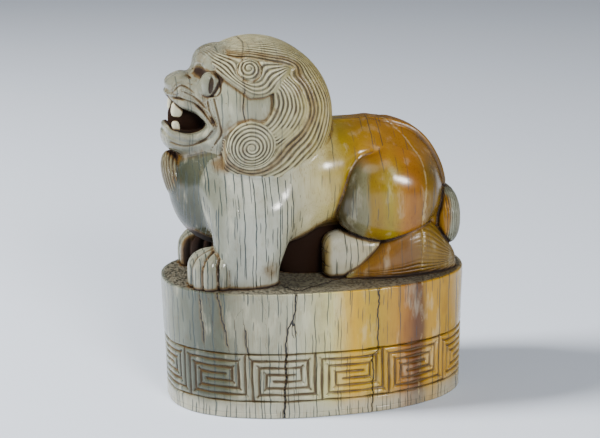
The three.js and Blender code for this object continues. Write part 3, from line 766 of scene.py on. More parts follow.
        nowhere = np.full(len(q), FAR)
        face = joined(joined(nowhere, "head"), "lower_jaw")
        mouth = self.mouth.at(q[:, 0], q[:, 2])
        face = face - self.lipRise * bell(mouth - 0.65, 0.5) + self.lipGroove * bell(mouth - 1.55, 0.3)
        face = smooth_max(face, -mouth, 0.5)
        face = smooth_max(face, -self.orbit.distance(q), 0.5)
        face = smooth_max(face, -self.hollow.distance(q), 0.8)
        face = smooth_min(face, self.lid.distance(q), 0.5)
        lines = bell(self.faceSheet.at(q[:, 0], q[:, 2]), 0.2)
        face = face + self.faceDepth * lines * (q[:, 1] > self.bareStrip)
        for node in ("head", "lower_jaw"):
            if node in own:
                own[node] = np.maximum(own[node], -mouth)
        for node in ("nose", "eye", "tongue", "upper_fang", "lower_fang"):
            face = joined(face, node)
        trunk = joined(joined(joined(nowhere, "torso"), "rump"), "chest")
        for node in ("foreleg", "forepaw", "spine_ridge", "belly_core", "haunch", "hind_foot",
                     "tail_plume", "tail_curl"):
            trunk = joined(trunk, node)
        body = smooth_min(face, trunk, 1.6)
        body = joined(body, "beard_tuft")
        hair_reach = 17.0
        hair_low, hair_high = self.hair.centre - hair_reach, self.hair.centre + hair_reach
        if not (np.any(hair_high < low) or np.any(hair_low > high)):
            hair = self.hair.distance(q)
            body = smooth_min(body, hair, 0.35)
            own["hair"] = hair
        return body, own

    def piece(self, node: str, p: Array) -> Array:
        """Distance to one piece, which closes itself under its neighbours.

        Args:
            node: the piece's name without its side.
            p: points in millimetres.

        Returns:
            The distances, negative inside.
        """
        body, own = self.field(p)
        group = "hair" if node in HAIR_PIECES else node
        mine = own.get(group, np.full(len(p), FAR))
        others = [gap for name, gap in own.items() if name != group]
        rest = np.minimum.reduce(others) if others else np.full(len(p), FAR)
        past = (mine - rest) / 2
        if group == "hair":
            u, v, _ = self.hair.chart(p)
            past = np.maximum(past, self.hair.owners(u, v)[node])
        shell = body + self.closing * np.maximum(past, 0) ** 2
        shell = np.maximum(shell, STAND - self.footing - p[:, 2])
        depth = self.hairDepth if node in HAIR_PIECES and node != "mane" else FAR
        return np.maximum(shell, -(body + depth))


@dataclass
class Skin:
    """A closed surface: its points, its four-cornered faces and what is painted on it."""

    points: Array
    faces: Array
    paint: dict[str, Array] = field(default_factory=dict)
    caps: list[list[int]] = field(default_factory=list)

    def mirrored(self) -> "Skin":
        """The same skin on the other side of the lion."""
        return Skin(self.points * np.array([1, -1, 1]), self.faces[:, ::-1].copy(), dict(self.paint))


# one paint holds painted shade in hollows, creases and the mouth, with some grime and stains
PLAIN_PAINT = {"cut": 0.0, "dirt": 0.0, "crack": UNCUT, "seam": UNCUT, "top": 0.0, "fret": UNCUT,
               "strand": 0.0, "wind_u": 1.0, "wind_v": 0.0, "comb": 0.0, "turned": 0.0}


@dataclass
class Rings:
    """Rings of points up the block with their paint, the lowest first."""

    points: list[Array] = field(default_factory=list)
    paint: dict[str, list[Array]] = field(default_factory=dict)

    def add(self, points: Array, **paint: Array) -> None:
        """Adds a ring over the others.

        Args:
            points: the ring's points.
            paint: what is painted on them, plain where it isn't given.
        """
        self.points.append(points)
        for key, plain in PLAIN_PAINT.items():
            self.paint.setdefault(key, []).append(paint.get(key, np.full(len(points), plain)))

    def under(self, others: "Rings") -> "Rings":
        """These rings with others over them."""
        paint = {key: rows + others.paint[key] for key, rows in self.paint.items()}
        return Rings(self.points + others.points, paint)

    def skin(self) -> Skin:
        """The closed skin over the rings, with a cap at each end."""
        columns, count = len(self.points[0]), len(self.points)
        index = np.arange(columns * count).reshape(count, columns)
        beside = np.roll(index, -1, 1)
        faces = np.stack([index[:-1], beside[:-1], beside[1:], index[1:]], -1).reshape(-1, 4)
        paint = {key: np.concatenate(rows) for key, rows in self.paint.items()}
        return Skin(np.vstack(self.points), faces, paint, [index[0, ::-1].tolist(), index[-1].tolist()])


@dataclass
class Sculptor:
    """Turns a distance field into a closed skin of four-cornered faces."""

    gap: Callable[[Array], Array]  # distance at each point, negative inside
    low: Array  # lowest and highest corner of the grid that's laid over the field
    high: Array
    spacing: float  # distance between two grid points

    def skin(self, halvings: int) -> Skin:
        """The surface, with each face halved both ways a number of times."""
        points, faces = self._net()
        points = self._seated(points, 2)
        for _ in range(halvings):
            points, faces = self._halved(points, faces)
            points = self._seated(points, 1)
        return Skin(points, faces)

    def _net(self) -> tuple[Array, Array]:
        """One point in each grid cell that the surface passes, and a face across each edge."""
        step = self.spacing
        axes = [np.arange(a, b + step, step) for a, b in zip(self.low, self.high)]
        shape = tuple(len(axis) for axis in axes)
        grid = np.stack(np.meshgrid(*axes, indexing="ij"), -1).reshape(-1, 3)
        value = self.gap(grid).reshape(shape)
        for ends in (np.s_[[0, -1]], np.s_[:, [0, -1]], np.s_[:, :, [0, -1]]):
            value[ends] = np.maximum(value[ends], 0.01)
        cells = tuple(n - 1 for n in shape)
        total, count = np.zeros(cells + (3,)), np.zeros(cells)
        corner = [(i, j, k) for i in (0, 1) for j in (0, 1) for k in (0, 1)]

        def at(c: tuple[int, int, int]) -> Array:
            """The field at one corner of each cell."""
            return value[c[0]:c[0] + cells[0], c[1]:c[1] + cells[1], c[2]:c[2] + cells[2]]

        for a in corner:
            for axis in range(3):
                if a[axis]:
                    continue
                b = tuple(v + (i == axis) for i, v in enumerate(a))
                one, two = at(a), at(b)
                crossed = (one < 0) != (two < 0)
                share = np.where(crossed, one / np.where(crossed, one - two, 1), 0)
                for i in range(3):
                    total[..., i] += np.where(crossed, a[i] + (share if i == axis else 0), 0)
                count += crossed
        live = count > 0
        index = np.full(cells, -1)
        index[live] = np.arange(live.sum())
        place = np.argwhere(live) + total[live] / count[live][:, None]
        origin = np.array([axis[0] for axis in axes])
        faces = []
        for axis in range(3):
            one = value[tuple(slice(1, -1) if i != axis else slice(0, -1) for i in range(3))]
            two = value[tuple(slice(1, -1) if i != axis else slice(1, None) for i in range(3))]
            u, v = [i for i in range(3) if i != axis]
            for inside_first in (True, False):
                hit = np.argwhere(((one < 0) & (two >= 0)) if inside_first else ((one >= 0) & (two < 0)))
                ring = []
                for du, dv in ((0, 0), (1, 0), (1, 1), (0, 1)):
                    cell = hit.copy()
                    cell[:, u] += du
                    cell[:, v] += dv
                    ring.append(index[cell[:, 0], cell[:, 1], cell[:, 2]])
                flip = inside_first == (axis == 1)
                faces.append(np.stack(ring[::-1] if flip else ring, 1))
        return origin + place * step, np.vstack(faces)

    def slope(self, points: Array, value: Optional[Array] = None) -> Array:
        """The field's gradient at each point."""
        step = 0.06
        value = self.gap(points) if value is None else value
        ahead = [self.gap(points + step * np.eye(3)[i]) for i in range(3)]
        return np.stack([(a - value) / step for a in ahead], 1)

    def _seated(self, points: Array, rounds: int) -> Array:
        """The points moved on to the surface."""
        for _ in range(rounds):
            value = self.gap(points)
            slope = self.slope(points, value)
            move = slope * (value / np.maximum((slope ** 2).sum(1), 0.09))[:, None]
            length = np.linalg.norm(move, axis=1)[:, None]
            limit = 0.5 * self.spacing
            points = points - move * np.minimum(1, limit / np.maximum(length, 1e-9))
        return points

    @staticmethod
    def _halved(points: Array, faces: Array) -> tuple[Array, Array]:
        """Each face as four, with new points in the middle of its edges."""
        edges = np.sort(np.stack([faces, np.roll(faces, -1, 1)], 2).reshape(-1, 2), 1)
        count = len(points)
        key, back = np.unique(edges[:, 0].astype(np.int64) * count + edges[:, 1], return_inverse=True)
        middles = (points[key // count] + points[key % count]) / 2
        centres = points[faces].mean(1)
        side = count + back.reshape(-1, 4)
        centre = count + len(middles) + np.arange(len(faces))
        quads = [np.stack([faces[:, i], side[:, i], centre, side[:, i - 1]], 1) for i in range(4)]
        return np.vstack([points, middles, centres]), np.vstack(quads)


@dataclass
class Carver:
    """Carves the fine lines into the lion's pieces and paints shade and grime in their hollows."""

    SEAM = (
        (13.7, 56.7), (15.2, 55.7), (17.8, 53.1), (19.2, 51.0), (20.6, 48.5), (20.9, 44.9),
        (20.6, 41.2), (20.2, 36.3), (20.4, 32.5), (20.1, 29.1), (19.9, 25.0),
    )
    CRACK = ((-13.6, 73.6), (-15.0, 70.9), (-15.4, 68.0), (-15.2, 64.0), (-15.5, 61.0), (-15.0, 58.3))
    PLUME_TOP = ((4.2, 27.0), (8, 29.4), (11.4, 31.4), (14.4, 33.7), (17.2, 35.5), (19.9, 36.1),
                 (22.4, 35.2), (24.9, 32.8), (28.4, 28.4))
    PLUME_FOOT = ((4.2, 26.6), (12.7, 26.2), (20.2, 26.2), (28.8, 27.6))

    # how far each probe for painted shade reaches out of the surface, and its share of that shade
    PROBES = ((0.3, 0.26), (0.7, 0.3), (1.3, 0.2), (2.6, 0.18))

    lion: Lion
    strandDepth: float = 0.2
    seamDepth: float = 0.1
    seamWidth: float = 0.22
    heelMiddle: Point2 = (-10.8, 3.4)  # two dirty hollows, by X and the height over the block
    heelReach: float = 2.7
    neckMiddle: Point2 = (-19.4, 24.2)
    neckReach: float = 2.0
    # the eye's corner, where shade is painted
    eyeCorner: Point2 = (-22.4, 67.2)  # by X and Z

    def __post_init__(self) -> None:
        """Works out the lines that the grooves follow."""
        self.seam = Sheet((0, 20), (32, 60), self._seam_gap)
        self.plume = Sheet((0, 22), (32, 40), self._plume_share)
        self.crack = Sheet((-32, 50), (-4, 75), self._crack_gap)

    def _seam_gap(self, x: Array, z: Array) -> Array:
        """Distance to the pale seam over the haunch and the plume."""
        return nearest_line([through(self.SEAM, 3)], x, z)

    def _crack_gap(self, x: Array, z: Array) -> Array:
        """Distance to the crack through the brow and the cheek."""
        return nearest_line([through(self.CRACK, 3)], x, z)

    def _plume_share(self, x: Array, z: Array) -> Array:
        """Share of the way up the tail's plume."""
        foot = gap_to_line(through(self.PLUME_FOOT, 3), x, z)
        top = gap_to_line(through(self.PLUME_TOP, 3), x, z)
        return foot / (foot + top + 1e-6)

    def combing(self, node: str, p: Array) -> Combing:
        """How the strands of a piece run.

        Args:
            node: the piece's name without its side.
            p: points in millimetres.

        Returns:
            The strands at each point.
        """
        x, y, z = p.T
        none, still = np.zeros(len(p)), np.ones(len(p))
        if node in HAIR_PIECES or node == "head":
            return self.lion.hair.combing(node, p)
        if node == "tail_plume":
            share = self.plume.at(x, z)
            rear = 0.6 * ease(x, 16.0, 26.0) + 0.7 * (1 - ease(share, 0.2, 0.34))
            return Combing(10 * share, still, none, np.clip(rear, 0, 1))
        if node == "tail_curl":
            form = self.lion.forms[node][0][0]
            centre, half = form.centre, form.half
            ring = np.hypot((z - centre[2]) / half[2], y / half[1])
            angle = np.arctan2(ring, (x - centre[0]) / half[0])
            return Combing(angle * half[2] / 0.9, y, z - centre[2],
                           ease(angle, 0.08, 0.2) * ease(x, 25.6, 26.2))
        if node == "beard_tuft":
            middle = -28.1 - 0.25 * (z - 46.4)
            return Combing((x - middle) / 0.85 + np.abs(y) / 1.5, still, none, still)
        if node == "spine_ridge":
            return Combing(np.abs(y) / 1.15 + 0.5, still, none, 0.7 * still)
        return Combing(none, still, none, none)

    def cut(self, node: str, p: Array) -> Array:
        """How deep the tool went beside the strands.

        Args:
            node: the piece's name without its side.
            p: points in millimetres.

        Returns:
            Depths from 0 to 1.
        """
        x, z = p[:, 0], p[:, 2]
        if node in ("head", "lower_jaw"):
            side = np.abs(p[:, 1]) > self.lion.bareStrip
            return bell(self.lion.faceSheet.at(x, z), 0.15) * side * (self.lion.mouth.at(x, z) > 0.5)
        if node == "eye":
            centre = self.lion.eye.centre
            slit = np.hypot((x - centre[0] + 0.5 - 0.15 * (z - centre[2])) / 0.5,
                            (z - centre[2] - 0.3) / 1.7)
            return 1 - ease(slit, 0.7, 1.1)
        if node == "hind_foot":
            toes = np.abs(np.sin(math.pi * (z - STAND + 0.4) / 2.9))
            return 0.8 * bell(toes, 0.14) * (1 - ease(x, 0.9, 2.2))
        return np.zeros(len(p))

    def depth(self, node: str) -> float:
        """How deep a full cut of the tool is in millimetres."""
        return {"eye": 0.4, "hind_foot": 0.3}.get(node, 0.0)

    def dirt(self, node: str, p: Array, normal: Array) -> Array:
        """How much painted shade, with some grime and stains, each point gets.

        Args:
            node: the piece's name without its side.
            p: points in millimetres.
            normal: the way that the surface faces at each point.

        Returns:
            Amounts from 0 to 1.
        """
        total = self._creases(p)
        # painted shade: the nearer the body closes round a point, the darker it is painted
        for reach, weight in self.PROBES:
            probe = p + normal * reach
            gap = np.minimum(self.lion.field(probe)[0], probe[:, 2] - STAND)
            total = np.clip(total + weight * np.clip(1 - gap / reach, 0, 1), 0, 1)
        layers = [total] + self._hollows(node, p)
        if node in ("head", "lower_jaw", "tongue"):
            layers += self._face_shade(p)
        return np.clip(np.maximum.reduce(layers), 0, 1)

    def _creases(self, p: Array) -> Array:
        """Painted shade in the creases where the haunch, the hind foot or the tail meets another piece.
        """
        own = self.lion.field(p)[1]
        total = np.zeros(len(p))
        for name in ("haunch", "hind_foot", "tail_plume", "tail_curl"):
            if name in own and len(own) > 1:
                other = np.minimum.reduce([gap for key, gap in own.items() if key != name])
                near = (own[name] < 1.6) & (other < 1.6)
                crease = bell(own[name] - other, 0.2) * self.lion.hold(name, p)
                total = np.maximum(total, 0.5 * crease * near)
        return total

    def _hollows(self, node: str, p: Array) -> list[Array]:
        """Painted shade between the legs, under the belly, on the forepaws' inner sides and along the
        hair's inner edge, with dirt at the heel and the neck.

        Args:
            node: the piece's name without its side.
            p: points in millimetres.

        Returns:
            The amounts from each hollow.
        """
        x, y, z = p[:, 0], np.abs(p[:, 1]), p[:, 2] - STAND
        to_heel = np.hypot(x - self.heelMiddle[0], z - self.heelMiddle[1])
        to_neck = np.hypot((x - self.neckMiddle[0]) / 1.3, z - self.neckMiddle[1])
        heel = 0.4 * bell(to_heel, self.heelReach) * (y > 9)
        neck = 0.5 * bell(to_neck, self.neckReach) * (y > 4)
        # painted shade between the legs and under the chest
        between_legs = (1 - ease(y, 5.0, 7.5)) * (1 - ease(z, 8.0, 12.5)) * (1 - ease(x, 12, 16))
        layers = [heel + neck, between_legs]
        if node != "hind_foot":
            # painted shade under the belly
            belly = (1 - ease(np.abs(x + 1.0), 5.0, 9.0)) * (1 - ease(z, 8.0, 16.5))
            layers.append(0.72 * (belly * (1 - ease(y, 8.0, 12.0))))
        # painted shade on the inner side of each forepaw
        if node == "forepaw":
            layers.append(0.9 * (1 - ease(y, 5.2, 7.4)) * ease(x, -25.5, -22.5))
        # painted shade along the hair's inner edge, under the brow and the lock
        if node in HAIR_PIECES:
            u, v, _ = self.lion.hair.chart(p)
            layers.append(0.4 * bell(self.lion.hair.innerSheet.at(u, v) - 1.2, 1.4))
        return layers

    def _face_shade(self, p: Array) -> list[Array]:
        """Painted shade in the eye's corner, round the eye and inside the mouth, and darker towards the
        top of the forehead.
        """
        x, y, z = p[:, 0], np.abs(p[:, 1]), p[:, 2]
        eye = self.lion.eye
        corner = np.hypot((x - self.eyeCorner[0]) / 2.2, (z - self.eyeCorner[1]) / 1.5)
        ring = eye.distance(np.stack([x, y, z], 1)) - 0.7 * ease(x, eye.centre[0], eye.centre[0] + 2)
        mouth = self.lion.mouth.at(x, z)
        return [0.8 * (1 - ease(corner, 0.2, 1.25)) * (y > 2.5), 0.22 * ease(z, 68.6, 70.6),
                0.7 * (1 - ease(ring, 0.1, 0.5)), (1 - ease(mouth, 0.05, 0.4)) * (1 - ease(y, 4.6, 6.2))]

    def finish(self, node: str, sculptor: Sculptor, skin: Skin) -> Skin:
        """Carves and paints a skin.

        Args:
            node: the piece's name without its side.
            sculptor: the field that the skin was made from.
            skin: the plain skin.

        Returns:
            The carved skin with its paint.
        """
        p = skin.points
        slope = sculptor.slope(p)
        normal = slope / np.maximum(np.linalg.norm(slope, axis=1), 1e-6)[:, None]
        cut, strands = self.cut(node, p), self.combing(node, p)
        seam = self.seam.at(p[:, 0], p[:, 2])
        seam = seam * (1 - 0.45 * bell(p[:, 2] - 38.5, 2.4))
        seam = np.where((np.abs(p[:, 1]) > 1.0) & (p[:, 0] > 8), seam, UNCUT)
        crack = np.full(len(p), UNCUT)
        if node in HAIR_PIECES or node == "head":
            crack = np.abs(self.crack.at(p[:, 0], p[:, 2])) + 0.1
        turned = normal[:, 0] ** 2 / (normal[:, 0] ** 2 + normal[:, 1] ** 2 + 1e-6)
        # the paint carries painted shade from the hollows and creases, with some grime and stains
        skin.paint = {"cut": cut, "dirt": self.dirt(node, p, normal), "seam": seam, "turned": turned,
                      "crack": crack, "strand": strands.count, "wind_u": strands.windU,
                      "wind_v": strands.windV, "comb": strands.strength}
        depth = (cut * self.depth(node) + self.seamDepth * bell(seam, self.seamWidth)
                 + self.strandDepth * strands.grooves())
        skin.points = p - normal * depth[:, None]
        return skin


@dataclass
class Block:
    """The oval block under the lion: its side, its top and the seal face underneath."""

    lion: Lion  # the body on top, round which shade is painted on the block
    squareness: float = 2.3
    draft: float = 0.55  # how much the block narrows towards its foot
    edge: float = 0.28  # radius of its rounded edges
    panels: int = 12  # of the fret, with so many lines across and up
    across: int = 10
    up: int = 7
    firstCorner: float = 10.5  # where the first panel starts along the rim
    grooveDepth: float = 0.45
    grooveWidth: float = 0.5
    crackDepth: float = 0.3
    crackWidth: float = 0.16
    fineCrack: float = 0.13  # how much narrower the lesser cracks are
    faceRecess: float = 0.8  # of the seal face, with its rim, middle bar and raised lines
    faceBorder: float = 1.8
    faceBar: float = 1.0
    faceLine: float = 0.8
    panelColumns: int = 90  # columns of points in each panel
    faceSpacing: float = 0.25  # distance between rings of points
    footSpacing: float = 0.15
    fretSpacing: float = 0.155
    drumSpacing: float = 0.3

    CRACKS = (
        ((117.9, 25.6), (117.5, 21.7), (117.3, 20.5), (116.1, 18.7), (115.7, 14.8), (115.6, 8.8),
         (115.3, 4.0), (115.2, 0.0)),
        ((117.3, 20.5), (117.5, 18.2)),
        ((134.5, 25.6), (134.2, 21.3), (134.2, 13.0), (133.1, 11.9), (133.2, 7.7), (133.0, 0.3)),
        ((98.5, 23.9), (99.0, 15.7)),
        ((102.3, 25.6), (104.2, 15.2)),
        ((107.7, 18.5), (108.2, 13.4)),
        ((37.0, 25.6), (36.2, 17.0), (36.8, 9.0), (36.4, 0.0)),
        ((61.0, 25.6), (60.1, 15.0), (60.6, 4.0)),
    )
    SEAM = ((144.1, 25.6), (143.8, 22.0), (144.2, 15.6), (143.8, 11.5), (143.8, 7.3), (143.5, 2.0))
    TOP_CRACKS = (
        ((-6.5, -17.3), (-4.8, -16.3), (-1.1, -13.6), (3.7, -10.3), (7.8, -5.3)),
        ((-6.5, -17.3), (-7.2, -15.4), (-7.8, -14.2), (-8.2, -13.4)),
    )
    STROKES = (
        ((1, 0), (1, 6), (9, 6), (9, 2), (3, 2), (3, 4), (7, 4)),
        ((10, 7), (10, 1), (2, 1), (2, 5), (8, 5), (8, 3), (4, 3)),
    )

    def __post_init__(self) -> None:
        """Takes the block's outer sizes from the CAD nodes and works out its sheets."""
        half = corners("base_drum")[1]
        self.halfLength, self.halfWidth = float(half[0]), float(half[1])
        self.fretLow = float(corners("fret_band")[0][2])
        self.fretHigh = float(corners("base_drum")[0][2])
        self.footLow = float(corners("base_foot")[0][2])
        turn = np.linspace(0, 2 * math.pi, 8001)
        bend = 2 / self.squareness
        self.xs = self.halfLength * np.sign(np.cos(turn)) * np.abs(np.cos(turn)) ** bend
        self.ys = self.halfWidth * np.sign(np.sin(turn)) * np.abs(np.sin(turn)) ** bend
        self.ways = np.concatenate([[0], np.cumsum(np.hypot(np.diff(self.xs), np.diff(self.ys)))])
        self.rim = float(self.ways[-1])
        self.panelLength = self.rim / self.panels
        self.panelHeight = self.fretHigh - self.fretLow
        over = 2.5  # how far the panel's sheet goes past the band
        self.panelSheet = Sheet((0, -over), (self.panelLength, self.panelHeight + over),
                                self._panel_gap, 0.05)
        self.crackSheet = Sheet((0, 0), (self.rim, STAND), self._crack_gap, 0.2)
        self.seamSheet = Sheet((0, 0), (self.rim, STAND), self._seam_gap, 0.4)
        reach = (self.halfLength, self.halfWidth)
        self.topSheet = Sheet((-reach[0], -reach[1]), reach, self._top_gap, 0.25)

    def _panel_gap(self, u: Array, v: Array) -> Array:
        """Distance to the nearest fret line in one panel."""
        step = np.array([self.panelLength / self.across, self.panelHeight / self.up])
        gap = np.minimum(np.abs(v), np.abs(v - self.panelHeight)) + 0.07
        for stroke in self.STROKES:
            line = np.array(stroke) * step
            for shift in (-self.panelLength, 0.0):
                moved = line + np.array([shift, 0])
                gap = np.minimum(gap, gap_to_line(moved, u, v))
                for before, corner, after in zip(moved[:-2], moved[1:-1], moved[2:]):
                    out = np.sign(corner - before) - np.sign(after - corner)
                    nick = np.array([corner, corner + 0.42 * out])
                    gap = np.minimum(gap, gap_to_line(nick, u, v) + 0.09)
        return gap

    def _crack_gap(self, s: Array, z: Array) -> Array:
        """Distance to the nearest crack in the side."""
        waver = 0.1 * np.sin(z * 1.3) + 0.05 * np.sin(z * 4.1 + 1.0)
        wide = nearest_line([np.array(crack) for crack in self.CRACKS[:2]], s + waver, z)
        wide = np.sign(wide) * (np.abs(wide) + self.fineCrack * ease(z, 14.5, 16.5))
        fine = nearest_line([np.array(crack) for crack in self.CRACKS[2:]], s + waver, z)
        fine = np.sign(fine) * (np.abs(fine) + self.fineCrack)
        return np.where(np.abs(fine) < np.abs(wide), fine, wide)

    def _seam_gap(self, s: Array, z: Array) -> Array:
        """Distance to the pale seam in the side."""
        return gap_to_line(np.array(self.SEAM), s, z)

    def _top_gap(self, x: Array, y: Array) -> Array:
        """Distance to the nearest crack in the top."""
        waver = 0.15 * np.sin(x * 2.3)
        return nearest_line([through(crack, 2) for crack in self.TOP_CRACKS], x, y + waver)

    def fret_gap(self, s: Array, z: Array) -> Array:
        """Distance to the nearest fret line at each place of the side."""
        shake_s = 0.05 * np.sin(s * 0.45 + z * 0.35) + 0.03 * np.sin(s * 1.1 + 0.8 * z)
        shake_z = 0.05 * np.sin(s * 0.5) + 0.03 * np.sin(s * 1.2 + 1.0)
        u = np.mod(s + shake_s - self.firstCorner, self.panelLength)
        gap = self.panelSheet.at(u, z - self.fretLow + shake_z)
        return gap - 0.05 * np.sin(s * 0.8 + 2 * np.sin(z * 0.6))

    def ring(self, ways: Array, z: float, inset: float) -> tuple[Array, Array, Array]:
        """One ring of points round the side.

        Args:
            ways: places of the columns along the rim.
            z: height of the ring.
            inset: how far a rounded edge draws the ring in.

        Returns:
            The points, the distance to the nearest fret line and how far each faces along X.
        """
        x, y = np.interp(ways, self.ways, self.xs), np.interp(ways, self.ways, self.ys)
        ahead = np.mod(ways + 0.05, self.rim)
        behind = np.mod(ways - 0.05, self.rim)
        dx = np.interp(ahead, self.ways, self.xs) - np.interp(behind, self.ways, self.xs)
        dy = np.interp(ahead, self.ways, self.ys) - np.interp(behind, self.ways, self.ys)
        length = np.hypot(dx, dy)
        height = np.full(len(ways), z)
        gap = self.fret_gap(ways, height)
        crack = self.crackSheet.at(ways, height)
        hand = 0.05 * np.sin(ways * 0.31 + z * 0.2) + 0.04 * np.sin(ways * 0.83 - z * 0.35)
        depth = (inset + self.draft * (1 - z / STAND)
                 + self.grooveDepth * (1 - ease(gap, 0.0, self.grooveWidth))
                 + self.crackDepth * bell(crack, self.crackWidth)
                 + np.maximum(hand, -0.05) * (z < STAND - 1))
        points = np.stack([x - dy / length * depth, y + dx / length * depth, height], 1)
        return points, gap, (dy / length) ** 2

    def side(self, columns: int, heights: Array) -> Rings:
        """A stretch of the side.

        Args:
            columns: how many points each ring has.
            heights: the height of each ring.

        Returns:
            The painted rings.
        """
        ways = np.arange(columns) * self.rim / columns
        rings = Rings()
        for z in heights:
            over = max(0.0, z - (STAND - self.edge))
            under = max(0.0, self.edge - z)
            inset = (2 * self.edge - math.sqrt(max(0.0, self.edge ** 2 - over ** 2))
                     - math.sqrt(max(0.0, self.edge ** 2 - under ** 2)))
            points, gap, turned = self.ring(ways, float(z), inset)
            level = np.full(columns, float(z))
            # the fret's grooves get painted shade and some grime
            rings.add(points, fret=gap, dirt=0.42 * (1 - ease(gap, 0.0, self.grooveWidth)),
                      crack=self.crackSheet.at(ways, level), seam=self.seamSheet.at(ways, level),
                      turned=turned)
        return rings

    def band(self, columns: int, low: float, high: float, spacing: float) -> Skin:
        """A stretch of the side between two heights, with its rings about a spacing apart."""
        count = max(2, int(round((high - low) / spacing)) + 1)
        return self.side(columns, np.linspace(low, high, count)).skin()

    def top(self, columns: int, spacing: float) -> Skin:
        """The plain drum above the fret, with the punched ground that the lion sits on.

        Args:
            columns: how many points each ring has.
            spacing: distance between the rings.

        Returns:
            The painted skin.
        """
        straight = np.arange(self.fretHigh, STAND - self.edge - 0.05, spacing)
        round_over = STAND - self.edge + self.edge * np.sin(np.linspace(0, math.pi / 2, 5))
        rings = self.side(columns, np.concatenate([straight, round_over]))
        rim = rings.points[-1]
        for share in np.linspace(1, 0.03, int(self.halfWidth / (spacing * 1.25)))[1:]:
            points = rim * np.array([share, share, 1])
            crack = self.topSheet.at(points[:, 0], points[:, 1])
            hand = 0.04 * np.sin(points[:, 0] * 1.7) * np.sin(points[:, 1] * 1.9)
            near = np.stack([points[:, 0], points[:, 1], points[:, 2] + 0.7], 1)
            points[:, 2] -= 0.2 * bell(crack, 0.2) + (hand + 0.04) * ease(np.array(1 - share), 0, 0.05)
            # painted shade on the ground round the lion's feet and under its body
            gap = self.lion.field(near)[0]
            under = 1 - ease(np.hypot((points[:, 0] - 1.0) / 11.0, points[:, 1] / 15.5), 0.55, 1.1)
            punched = float(ease(np.array(1 - share), 0.0, 0.022))
            rings.add(points, dirt=np.maximum(0.7 - 0.7 * ease(gap, -0.3, 1.0), 0.22 * under),
                      crack=crack, top=np.full(columns, punched))
        return rings.skin()

    def face(self, columns: int, spacing: float) -> Skin:
        """The seal face: a rim, a middle bar and raised fret lines in four plain panels.

        Args:
            columns: how many points each ring has.
            spacing: distance between the rings.

        Returns:
            The painted skin.
        """
        sides = self.side(columns, np.linspace(0, self.footLow, 6))
        rim = sides.points[0]
        soft = 0.1  # half the width of each raised edge's slope
        margin, share_used = self.faceBorder + 1.6, 0.68
        panel = ((self.halfLength - margin) * share_used,
                 (self.halfWidth - margin) * share_used - self.faceBar)
        step = np.array([panel[0] / self.across, panel[1] / self.up])
        inner = Rings()
        for share in np.linspace(1, 0.02, int(self.halfWidth / spacing))[:0:-1]:
            points = rim * np.array([share, share, 1])
            x, y = points[:, 0], points[:, 1]
            from_rim = (1 - share) * np.hypot(rim[:, 0], rim[:, 1])
            border = ease(-from_rim, -self.faceBorder - soft, -self.faceBorder + soft)
            raised = np.maximum(border, ease(-np.abs(y), -self.faceBar - soft, -self.faceBar + soft))
            u, v = np.where(x < 0, x + panel[0], x), np.abs(y) - self.faceBar
            for stroke in self.STROKES:
                gap = gap_to_line(np.array(stroke) * step, u, v)
                line = 1 - ease(gap, self.faceLine / 2 - soft, self.faceLine / 2 + soft)
                raised = np.maximum(raised, line)
            points[:, 2] = self.faceRecess * (1 - raised)
            # the sunk ground of the seal face gets painted shade and some grime
            inner.add(points, cut=0.6 * (1 - raised), dirt=0.4 * (1 - raised))
        return inner.under(sides).skin()

    def build(self, workshop: "Workshop") -> None:
        coarse = 1
        columns = self.panels * self.panelColumns // coarse
        pieces = {
            "seal_face": self.face(columns // 2, self.faceSpacing * coarse),
            "base_foot": self.band(columns, self.footLow, self.fretLow, self.footSpacing * coarse),
            "fret_band": self.band(columns, self.fretLow, self.fretHigh, self.fretSpacing * coarse),
            "base_drum": self.top(columns // 2, self.drumSpacing * coarse),
        }
        for node, skin in pieces.items():
            workshop.dress(node, skin, Finish.BASE)


Value = Union["Term", float, int, Sequence[float]]


def operator(operation: str, reflected: bool = False) -> Callable[["Term", Value], "Term"]:
    """A method of Term that adds a Math node.

    Args:
        operation: what the node works out.
        reflected: whether the other value stands on the left.

    Returns:
        The method.
    """
    def apply(term: "Term", other: Value) -> "Term":
        """The outcome of the operation with another value."""
        first, second = (other, term) if reflected else (term, other)
        return term.graph.node("ShaderNodeMath", {"operation": operation}, {0: first, 1: second})
    return apply


class Term:
    """A socket in a material, with the arithmetic that an expression on it adds."""

    __add__ = operator("ADD")
    __radd__ = operator("ADD", True)
    __sub__ = operator("SUBTRACT")
    __rsub__ = operator("SUBTRACT", True)
    __mul__ = operator("MULTIPLY")
    __rmul__ = operator("MULTIPLY", True)
    __truediv__ = operator("DIVIDE")
    most = operator("MAXIMUM")

    def __init__(self, graph: "Graph", socket: bpy.types.NodeSocket) -> None:
        """Wraps a socket of the graph."""
        self.graph = graph
        self.socket = socket

    def size(self) -> "Term":
        """The value without its sign."""
        return self.graph.node("ShaderNodeMath", {"operation": "ABSOLUTE"}, {0: self})


